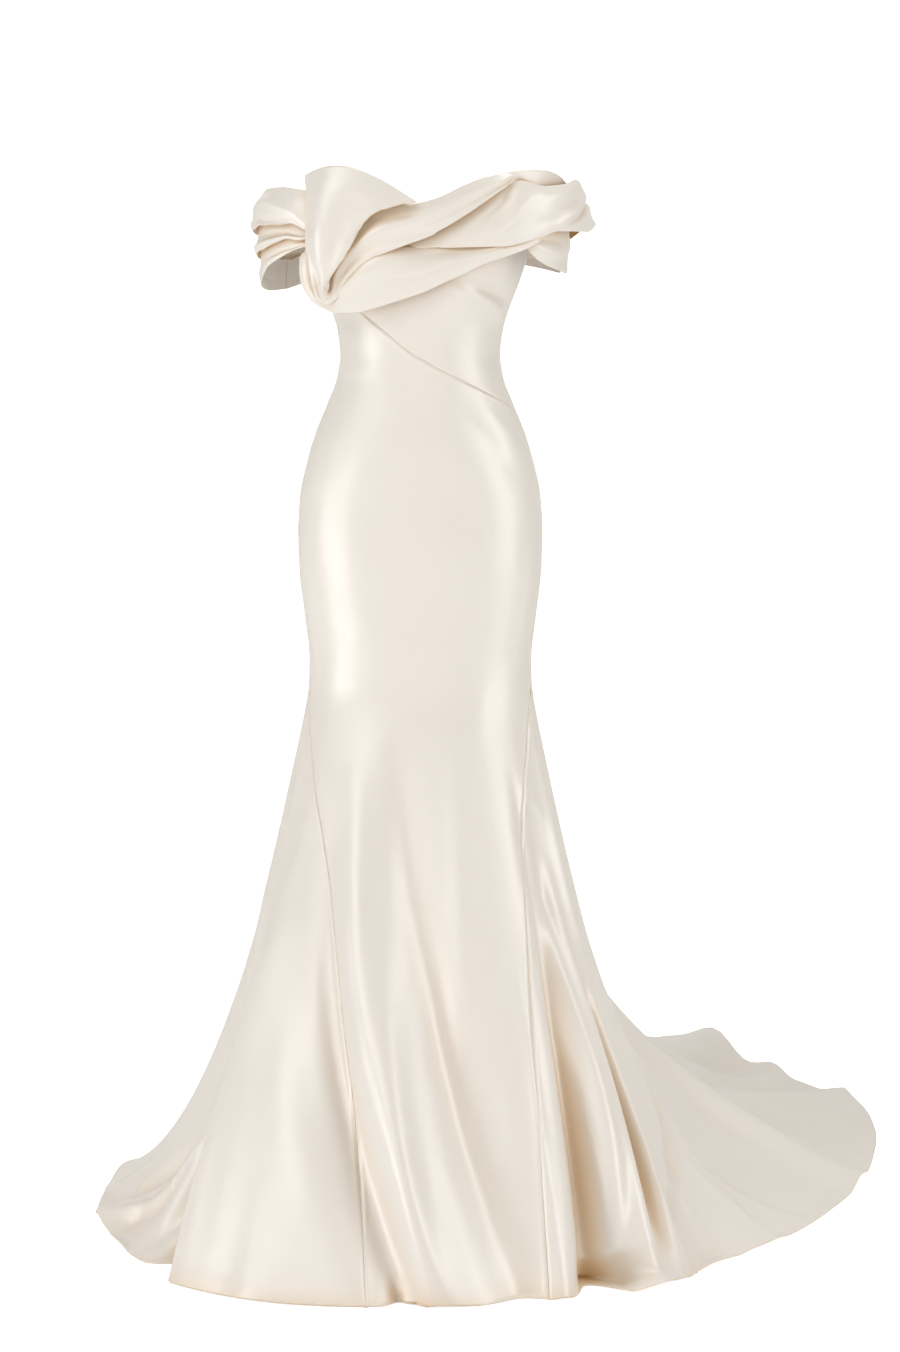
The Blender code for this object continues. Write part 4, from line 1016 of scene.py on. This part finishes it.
def folded_band(name, node, table, creases, outer, inner, under):
    """A neckline band with both long edges folded under. The piece under it is not used."""
    grid = folded(band_grid(table, creases), outer, inner)
    thin_cloth(name, grid, node, False, None)


def feed(tree, node, inputs):
    """Gives a node's inputs, by name or number, their links or values."""
    for key, source in inputs.items():
        if isinstance(source, bpy.types.NodeSocket):
            tree.links.new(source, node.inputs[key])
        else:
            node.inputs[key].default_value = source


def add_node(tree, kind, inputs=(), **settings):
    """A new node with its settings and inputs."""
    node = tree.nodes.new(kind)
    for key, value in settings.items():
        setattr(node, key, value)
    feed(tree, node, dict(inputs))
    return node


def sums(tree, value, *steps):
    """A value or socket taken through steps, each an operation and what it works with."""
    for operation, *others in steps:
        inputs = dict(enumerate((value, *others)))
        value = add_node(tree, "ShaderNodeMath", inputs, operation=operation).outputs[0]
    return value


def mixed(tree, share, first, second):
    """The second colour mixed over the first by a share."""
    inputs = {0: share, 6: first, 7: second}
    return add_node(tree, "ShaderNodeMix", inputs, data_type="RGBA").outputs[2]


def grain(tree, source, stretch, size, detail):
    """Noise on a map whose ways are scaled apart, so that its grain runs along one of them."""
    place = add_node(tree, "ShaderNodeMapping", {"Vector": source, "Scale": stretch}).outputs[0]
    inputs = {"Vector": place, "Scale": size, "Detail": detail, "Roughness": GRAIN_ROUGHNESS}
    return add_node(tree, "ShaderNodeTexNoise", inputs).outputs["Fac"]


def bumped(tree, height):
    """The normal that a height in metres gives."""
    inputs = {"Strength": 1.0, "Distance": 1.0, "Height": height}
    return add_node(tree, "ShaderNodeBump", inputs).outputs["Normal"]


def new_material(name):
    """A new material, its nodes and its shader."""
    material = bpy.data.materials.new(name)
    material.use_nodes = True
    return material, material.node_tree, material.node_tree.nodes["Principled BSDF"]


def satin_group():
    """The satin's shared effects: fine yarn grain along the cloth, long slubs, soft clouding, painted
    shade along seams and edges, and painted warm shade in hollows. It gives a colour, a roughness and a
    height in metres."""
    name = "satin weave"
    if name in bpy.data.node_groups:
        return bpy.data.node_groups[name]
    group = bpy.data.node_groups.new(name, "ShaderNodeTree")
    for way, sockets in (("INPUT", SATIN_INPUTS), ("OUTPUT", SATIN_OUTPUTS)):
        for label, (kind, *value) in sockets.items():
            socket = group.interface.new_socket(name=label, in_out=way, socket_type="NodeSocket" + kind)
            if value:
                socket.default_value = value[0]
    given = group.nodes.new("NodeGroupInput").outputs
    result = group.nodes.new("NodeGroupOutput")

    yarn, slub = (grain(group, given["Cloth map"], *made) for made in (YARN_GRAIN, SLUB_GRAIN))
    cloud, ripple = (grain(group, given["Place"], *made) for made in (CLOUD_GRAIN, RIPPLE_GRAIN))

    # Painted shade along seams and edges, with clouding and yarn tone that differ at random, as the
    # share of the seam shade colour
    seam_end = sums(group, given["Edge distance"], ("DIVIDE", SEAM_SHADE_REACH), ("MINIMUM", 1.0))
    drift = sums(group, cloud, ("SUBTRACT", 0.5), ("MULTIPLY", given["Clouding"]))
    yarn_shade = sums(group, yarn, ("MULTIPLY_ADD", YARN_SHADE, -YARN_SHADE / 2))
    seam_shade_and_clouding = sums(
        group, 1.0, ("SUBTRACT", seam_end), ("MULTIPLY", SEAM_SHADE), ("ADD", drift),
        ("ADD", yarn_shade), ("MAXIMUM", 0.0),
    )
    colour = mixed(group, seam_shade_and_clouding, given["Colour"], given["Seam shade and clouding colour"])

    slub_gloss = sums(group, slub, ("MULTIPLY_ADD", SLUB_GLOSS, -SLUB_GLOSS / 2))
    gloss = sums(
        group, ripple, ("MULTIPLY_ADD", RIPPLE_GLOSS, -RIPPLE_GLOSS / 2), ("ADD", given["Roughness"]),
        ("ADD", slub_gloss),
    )

    height = sums(group, yarn, ("MULTIPLY", given["Yarn height"]))
    for noise, size in ((slub, "Slub height"), (cloud, "Cloud height"), (ripple, "Ripple height")):
        height = sums(group, noise, ("MULTIPLY_ADD", given[size], height))
    # Painted warm shade in the hollows, by the share that the material gives
    colour_with_painted_hollow_shade = mixed(group, given["Painted hollow shade"], colour, given["Painted hollow shade colour"])
    feed(group, result, {"Colour": colour_with_painted_hollow_shade, "Roughness": gloss, "Height": height})
    return group


def satin(name, node):
    """Heavy ivory satin for one piece, with that piece's own shade of the dress colour, and a warm
    painted shade mixed in where the cloth is closed in.
    """
    sizes = bpy.context.scene.dress_sizes
    tint, dulled = SATIN_SHADES[node]
    material, tree, shader = new_material(name + "_satin")
    # Painted shade: ambient occlusion tells how closed in the cloth is, and that share of the hollow
    # colour is mixed into the satin
    open_air = add_node(
        tree, "ShaderNodeAmbientOcclusion", {"Distance": PAINTED_HOLLOW_SHADE_REACH}, samples=PAINTED_HOLLOW_SHADE_SAMPLES
    ).outputs["AO"]
    edge = add_node(tree, "ShaderNodeAttribute", attribute_name="edge_distance").outputs["Fac"]
    weave = add_node(tree, "ShaderNodeGroup", {
        "Cloth map": add_node(tree, "ShaderNodeUVMap", uv_map="cloth").outputs["UV"],
        "Place": add_node(tree, "ShaderNodeTexCoord").outputs["Object"],
        "Edge distance": edge,
        "Colour": (*(c * tint for c in sizes.satin_colour), 1.0),
        "Seam shade and clouding colour": (*(c * tint for c in sizes.seam_shade_and_clouding_colour), 1.0),
        "Painted hollow shade colour": (*sizes.painted_hollow_shade_colour, 1.0),
        "Painted hollow shade": sums(tree, 1.0, ("SUBTRACT", open_air), ("POWER", PAINTED_HOLLOW_SHADE_CURVE)),
        "Roughness": sizes.satin_roughness + dulled,
    }, node_tree=satin_group()).outputs
    feed(tree, shader, {
        "Base Color": weave["Colour"],
        "Roughness": weave["Roughness"],
        "Normal": bumped(tree, weave["Height"]),
        **SATIN_SHINE,
    })
    return material


def metal(name):
    """Polished zip metal, with fine scratches that run along it and vary its roughness."""
    material, tree, shader = new_material(name + "_metal")
    place = add_node(tree, "ShaderNodeTexCoord").outputs["Object"]
    scratch, tarnish = (grain(tree, place, *made) for made in (SCRATCH_GRAIN, TARNISH_GRAIN))
    rough = sums(tree, scratch, ("MULTIPLY_ADD", SCRATCH_DULLNESS, METAL_ROUGHNESS))
    feed(tree, shader, {
        "Base Color": (*bpy.context.scene.dress_sizes.metal_colour, 1.0),
        "Metallic": 1.0,
        "Roughness": sums(tree, tarnish, ("MULTIPLY_ADD", TARNISH_DULLNESS, rough)),
        "Normal": bumped(tree, sums(tree, scratch, ("MULTIPLY", SCRATCH_DEPTH))),
    })
    return material


def seam(table, side=1, turn=0.0):
    """A seam as a function of the station down, mirrored by side and counted on by whole turns."""
    return lambda station: turn + side * along(table, station)


def straight(angle):
    """A line straight down at one angle, as a function of the station down."""
    return lambda station: angle + 0 * station


def diagonal(angle):
    """Height of the diagonal bodice seam."""
    return along(DIAGONAL_SEAM, turned_to(np.asarray(angle)))


def top_edge(angle):
    """Height of the bodice's top edge, the same on both sides."""
    return along(TOP_EDGE, np.abs(turned_to(np.asarray(angle))))


def bodice_grid():
    """The bodice front: rows from the top edge down to the diagonal seam on the fitted part."""

    def surface(angle, fall):
        foot = diagonal(angle) + 2 * SEAM_GAP
        return creased_body(angle, foot + (top_edge(angle) - foot) * (1 - fall))

    spread = edge_shares(np.array([2 * SIDE_ANGLE * METRES_PER_DEGREE]), FRONT_COLUMNS)[:, 0]
    angle = -SIDE_ANGLE + 2 * SIDE_ANGLE * spread
    falls = edge_shares(top_edge(angle) - diagonal(angle), BODICE_ROWS).T
    grid = between_seams(surface, straight(-SIDE_ANGLE), straight(SIDE_ANGLE), falls, FRONT_COLUMNS)
    return sewn_edges(grid, RIPPLE_STARTS["bodice_front"], hemmed=False)


def zip_line(height, offset, inset):
    """Point of the zip: at a height on the centre back, offset sideways and set inside the cloth."""
    point = creased_body(CENTRE_BACK + 0 * height, height)
    return point + np.stack([offset, -inset, 0 * height], -1)


def tooth():
    """Points, four-sided faces and end faces of a tooth: a squashed ball of rings with two poles."""
    turn = np.linspace(0, 2 * np.pi, TOOTH_SIDES, endpoint=False)
    rise = np.linspace(0, np.pi, TOOTH_RINGS + 2)[1:-1, None]
    ball = np.stack([
        np.cos(rise) + 0 * turn, np.sin(rise) * np.cos(turn), np.sin(rise) * np.sin(turn),
    ], -1).reshape(-1, 3)
    ball = np.concatenate([ball, [[1.0, 0.0, 0.0], [-1.0, 0.0, 0.0]]]) * TOOTH_SIZE
    ring = np.arange(TOOTH_RINGS * TOOTH_SIDES).reshape(TOOTH_RINGS, TOOTH_SIDES)
    turned = np.roll(ring, -1, 1)
    sides = np.stack([ring[:-1], ring[1:], turned[1:], turned[:-1]], -1).reshape(-1, 4)
    ends = [(ring.size, a, b) for a, b in zip(ring[0], turned[0])]
    ends += [(ring.size + 1, b, a) for a, b in zip(ring[-1], turned[-1])]
    return ball, sides, np.array(ends)


def studio_floor():
    """A floor that curves up behind the dress as a quarter circle and goes on as a wall."""
    turn = np.linspace(0, np.pi / 2, STAGE_CURVE_STEPS)
    wall = STAGE_BACK + STAGE_CURVE
    back = np.concatenate([[STAGE_FRONT], STAGE_BACK + STAGE_CURVE * np.sin(turn), [wall]])
    rise = np.concatenate([[0.0], STAGE_CURVE * (1 - np.cos(turn)), [STAGE_HEIGHT]])
    side = np.array([-STAGE_HALF_WIDTH, STAGE_HALF_WIDTH])
    line = np.stack([0 * back, back, rise - WAIST_HEIGHT], -1)
    points = (line[None] + np.stack([side, 0 * side, 0 * side], -1)[:, None]).reshape(-1, 3)
    near = np.arange(len(back) - 1)
    faces = np.stack([near, near + len(back), near + len(back) + 1, near + 1], -1)
    return new_object("studio_floor", points, faces.tolist(), floor_paint())


def floor_paint():
    """Pale matt paint with a little glow of its own, more of it to the camera, that the camera
    looks through from behind."""
    material, tree, shader = new_material("studio floor paint")
    seen = add_node(tree, "ShaderNodeLightPath").outputs["Is Camera Ray"]
    behind = add_node(tree, "ShaderNodeNewGeometry").outputs["Backfacing"]
    feed(tree, shader, {
        "Base Color": (*bpy.context.scene.dress_sizes.floor_colour, 1.0),
        "Roughness": FLOOR_ROUGHNESS,
        "Specular IOR Level": FLOOR_SPECULAR,
        "Emission Color": WHITE,
        "Emission Strength": sums(tree, seen, ("MULTIPLY_ADD", FLOOR_SEEN_GLOW, FLOOR_GLOW)),
        "Alpha": sums(tree, 1.0, ("SUBTRACT", sums(tree, behind, ("MULTIPLY", seen)))),
    })
    return material


def studio_lamp(name, place, aim, size, power, colour):
    """A rectangular lamp that the camera doesn't see."""
    lamp = bpy.data.lights.new(name, "AREA")
    lamp.shape = "RECTANGLE"
    lamp.size, lamp.size_y = size
    lamp.energy = power * bpy.context.scene.dress_sizes.light_strength
    lamp.color = colour
    holder = bpy.data.objects.new(name, lamp)
    holder.location = place
    holder.rotation_euler = (Vector(aim) - Vector(place)).to_track_quat("-Z", "Y").to_euler()
    holder.visible_camera = False
    bpy.context.scene.collection.objects.link(holder)


def studio_air():
    """Faint warm light from all round, which the camera sees as white."""
    world = bpy.data.worlds.new("studio air")
    world.use_nodes = True
    tree = world.node_tree
    seen = add_node(tree, "ShaderNodeLightPath").outputs["Is Camera Ray"]
    feed(tree, tree.nodes["Background"], {
        "Color": mixed(tree, seen, (*AIR_COLOUR, 1.0), WHITE),
        "Strength": sums(tree, seen, ("MULTIPLY_ADD", 1.0 - AIR_LIGHT, AIR_LIGHT)),
    })
    return world


class DressSizes(bpy.types.PropertyGroup):
    """Sizes and colours of the dress and its studio that a user would change"""

    crease_depth: bpy.props.FloatProperty(
        name="Crease depth", description="Depth of every crease, as a share of the drawn one",
        default=1.0, min=0.0, max=2.0,
    )
    seam_dip: bpy.props.FloatProperty(
        name="Seam dip", description="How far the cloth dips into each seam",
        default=0.0008, min=0.0, max=0.002, unit="LENGTH",
    )
    pucker: bpy.props.FloatProperty(
        name="Seam pucker", description="Height of the ripples beside each seam",
        default=0.00028, min=0.0, max=0.002, unit="LENGTH",
    )
    cloth_thickness: bpy.props.FloatProperty(
        name="Cloth thickness", description="Thickness of the satin with its lining",
        default=0.0011, min=0.0005, max=0.003, unit="LENGTH",
    )
    satin_colour: bpy.props.FloatVectorProperty(
        name="Satin colour", description="Colour of the ivory satin", subtype="COLOR", size=3,
        default=(0.738, 0.712, 0.672), min=0.0, max=1.0,
    )
    # Painted shade along seams and edges, the colour which the satin's random clouding also leans
    # towards
    seam_shade_and_clouding_colour: bpy.props.FloatVectorProperty(
        name="Seam shade and clouding colour", description="Colour of the satin where it turns into a seam",
        subtype="COLOR", size=3, default=(0.55, 0.42, 0.28), min=0.0, max=1.0,
    )
    # Painted shade: the warm brown mixed into the satin where it is closed in between folds
    painted_hollow_shade_colour: bpy.props.FloatVectorProperty(
        name="Painted hollow shade colour", description="Colour that the satin takes deep between its folds",
        subtype="COLOR", size=3, default=(0.62, 0.37, 0.11), min=0.0, max=1.0,
    )
    satin_roughness: bpy.props.FloatProperty(
        name="Satin roughness", description="Softness of the sheen", default=0.40, min=0.1, max=1.0,
    )
    metal_colour: bpy.props.FloatVectorProperty(
        name="Zip colour", description="Colour of the zip's metal", subtype="COLOR", size=3,
        default=(0.78, 0.75, 0.70), min=0.0, max=1.0,
    )
    floor_colour: bpy.props.FloatVectorProperty(
        name="Floor colour", description="Colour of the studio floor", subtype="COLOR", size=3,
        default=(0.94, 0.94, 0.935), min=0.0, max=1.0,
    )
    light_strength: bpy.props.FloatProperty(
        name="Light strength", description="Strength of all lamps, as a share of the drawn one",
        default=1.0, min=0.0, max=4.0,
    )


class DRESS_OT_front_pieces(bpy.types.Operator):
    """Front panel, bodice front and both godets: grids on the fitted part and the flared skirt"""

    bl_idname = "dress.front_pieces"
    bl_label = "Front panel, bodice and godets"

    def execute(self, context):
        grid, near = panel(
            FRONT_COLUMNS, diagonal,
            (seam(SIDE_SEAM, -1), seam(SIDE_SEAM)),
            (seam(FRONT_SEAM_RIGHT), seam(FRONT_SEAM_LEFT)), RIPPLE_STARTS["front_panel"],
        )
        thin_cloth("long_front_panel", grid, "front_panel", True, near)
        grid, near = bodice_grid()
        thin_cloth("bodice_front_above_the_diagonal_seam", grid, "bodice_front", True, near)
        for name, node, first, last in (
            ("right_godet", "godet_right", BACK_SEAM_RIGHT, FRONT_SEAM_RIGHT),
            ("left_godet", "godet_left", FRONT_SEAM_LEFT, BACK_SEAM_LEFT),
        ):
            grid = between_seams(skirt_point, seam(first), seam(last), skirt_shares(), GODET_COLUMNS)
            grid, near = sewn_edges(grid, RIPPLE_STARTS[node], hemmed=True)
            thin_cloth(name, grid, node, True, near)
        return {"FINISHED"}


class DRESS_OT_backs(bpy.types.Operator):
    """Both backs from the top edge to the train's hem: grids like the front panel's"""

    bl_idname = "dress.backs"
    bl_label = "Backs and train"

    def execute(self, context):
        centre, middle = seam(CENTRE_BACK_SEAM), straight(CENTRE_BACK)
        grid, near = panel(
            BACK_LEFT_COLUMNS, top_edge,
            (seam(SIDE_SEAM), middle), (seam(BACK_SEAM_LEFT), centre), RIPPLE_STARTS["back_left"],
        )
        thin_cloth("left_back_with_the_larger_half_of_the_train", grid, "back_left", True, near)
        grid, near = panel(
            BACK_RIGHT_COLUMNS, top_edge,
            (middle, seam(SIDE_SEAM, -1, 360.0)), (centre, seam(BACK_SEAM_RIGHT, 1, 360.0)),
            RIPPLE_STARTS["back_right"],
        )
        thin_cloth("right_back_with_the_smaller_half_of_the_train", grid, "back_right", True, near)
        return {"FINISHED"}


class DRESS_OT_bust_fold(bpy.types.Operator):
    """The wide bias fold over the right bust, which turns under and comes back as a band"""

    bl_idname = "dress.bust_fold"
    bl_label = "Bust fold"

    def execute(self, context):
        folded_band(
            "bust_fold_and_upper_crossing_band", "bust_fold", BUST_FOLD, BUST_FOLD_CREASES,
            BUST_FOLD_OUTER, BUST_FOLD_INNER, "middle_band",
        )
        return {"FINISHED"}


class DRESS_OT_bands(bpy.types.Operator):
    """The middle and lower bias bands of the neckline, folded along both edges"""

    bl_idname = "dress.bands"
    bl_label = "Middle and lower bands"

    def execute(self, context):
        edges = PLAIN_FOLD_EDGE, PLAIN_FOLD_EDGE, "bodice_front"
        folded_band("middle_neckline_band", "middle_band", MIDDLE_BAND, MIDDLE_BAND_CREASES, *edges)
        folded_band("lower_neckline_band", "lower_band", LOWER_BAND, LOWER_BAND_CREASES, *edges)
        return {"FINISHED"}


class DRESS_OT_sleeves(bpy.types.Operator):
    """The pleated right sleeve and the underside of the left sleeve"""

    bl_idname = "dress.sleeves"
    bl_label = "Sleeves"

    def execute(self, context):
        grid = pleated_grid(SLEEVE_RIGHT, SLEEVE_RIGHT_CREASES)
        thin_cloth("pleated_right_sleeve", grid, "sleeve_right", True, None)
        folded_band(
            "left_sleeve_underside", "sleeve_left", SLEEVE_LEFT, SLEEVE_LEFT_CREASES,
            OPEN_EDGE, OPEN_EDGE, "middle_band",
        )
        return {"FINISHED"}


class DRESS_OT_back_drapes(bpy.types.Operator):
    """The pleated drapes from both sleeves round to either side of the centre back"""

    bl_idname = "dress.back_drapes"
    bl_label = "Back drapes"

    def execute(self, context):
        for name, node, table in (
            ("left_back_drape", "back_drape_left", BACK_DRAPE_LEFT),
            ("right_back_drape", "back_drape_right", BACK_DRAPE_RIGHT),
        ):
            grid = pleated_grid(table, BACK_DRAPE_CREASES)
            thin_cloth(name, grid, node, True, None)
        return {"FINISHED"}


class DRESS_OT_zip(bpy.types.Operator):
    """The concealed zip: woven tape inside the centre back, a coil of teeth, slider and pull"""

    bl_idname = "dress.zip"
    bl_label = "Zip"

    def execute(self, context):
        height = np.linspace(ZIP_TOP, ZIP_FOOT, ZIP_ROWS)[None, :]
        offset = np.linspace(1, -1, TAPE_COLUMNS)[:, None] * TAPE_HALF_WIDTH
        grid = zip_line(height + 0 * offset, offset + 0 * height, TAPE_INSET + 0 * height * offset)
        near = TAPE_HALF_WIDTH - np.abs(offset) + 0 * height
        thin_cloth("woven_zip_tape", grid, "zip_tape", True, near)

        row = np.arange(int((ZIP_TOP - ZIP_FOOT) / TOOTH_PITCH))
        side = np.where(row % 2, 1.0, -1.0) * TOOTH_OFFSET
        centres = zip_line(ZIP_FOOT + (row + 0.5) * TOOTH_PITCH, side, TOOTH_INSET + 0 * side)
        ball, sides, ends = tooth()
        step = (row * len(ball))[:, None, None]
        faces = (sides + step).reshape(-1, 4).tolist() + (ends + step).reshape(-1, 3).tolist()
        points = (centres[:, None] + ball).reshape(-1, 3)
        gown_piece("zip_teeth", points, faces, metal("zip_teeth"))

        for node in ("zip_slider", "zip_pull"):
            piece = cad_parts[node]
            piece.data.materials.clear()
            piece.data.materials.append(metal(node))
            rounded = piece.modifiers.new("rounded edges", "BEVEL")
            rounded.width = METAL_BEVEL
            rounded.segments = METAL_BEVEL_STEPS
            rounded.limit_method = "ANGLE"
        return {"FINISHED"}


class DRESS_OT_stage(bpy.types.Operator):
    """Pale studio floor that curves up behind the dress, soft lamps and the camera"""

    bl_idname = "dress.stage"
    bl_label = "Stage"

    def execute(self, context):
        scene = context.scene
        studio_floor()
        for lamp in LAMPS:
            studio_lamp(*lamp)
        scene.world = studio_air()
        scene.view_settings.view_transform = "Standard"

        lens = bpy.data.cameras.new("camera")
        lens.lens = CAMERA_LENS
        lens.clip_end = CAMERA_REACH
        scene.camera = bpy.data.objects.new("camera", lens)
        scene.camera.location = CAMERA_PLACE
        scene.camera.rotation_euler = (np.radians(90.0 - CAMERA_DIP), 0.0, 0.0)
        scene.collection.objects.link(scene.camera)
        return {"FINISHED"}


OPERATORS = (
    DRESS_OT_front_pieces, DRESS_OT_backs, DRESS_OT_bust_fold, DRESS_OT_bands, DRESS_OT_sleeves,
    DRESS_OT_back_drapes, DRESS_OT_zip, DRESS_OT_stage,
)


class DRESS_PT_panel(bpy.types.Panel):
    """Sizes, colours and the operators that build the dress"""

    bl_idname = "DRESS_PT_panel"
    bl_label = "Mermaid evening dress"
    bl_space_type = "VIEW_3D"
    bl_region_type = "UI"
    bl_category = "Dress"

    def draw(self, context):
        for name in DressSizes.__annotations__:
            self.layout.prop(context.scene.dress_sizes, name)
        for operator in OPERATORS:
            self.layout.operator(operator.bl_idname)


CLASSES = (DressSizes, *OPERATORS, DRESS_PT_panel)


def register():
    for made in CLASSES:
        bpy.utils.register_class(made)
    bpy.types.Scene.dress_sizes = bpy.props.PointerProperty(type=DressSizes)


def unregister():
    del bpy.types.Scene.dress_sizes
    for made in reversed(CLASSES):
        bpy.utils.unregister_class(made)


def main():
    register()
    for operator in OPERATORS:
        group, name = operator.bl_idname.split(".")
        if getattr(getattr(bpy.ops, group), name)() != {"FINISHED"}:
            raise RuntimeError(operator.bl_idname + " did not finish")


if __name__ == "__main__":
    main()
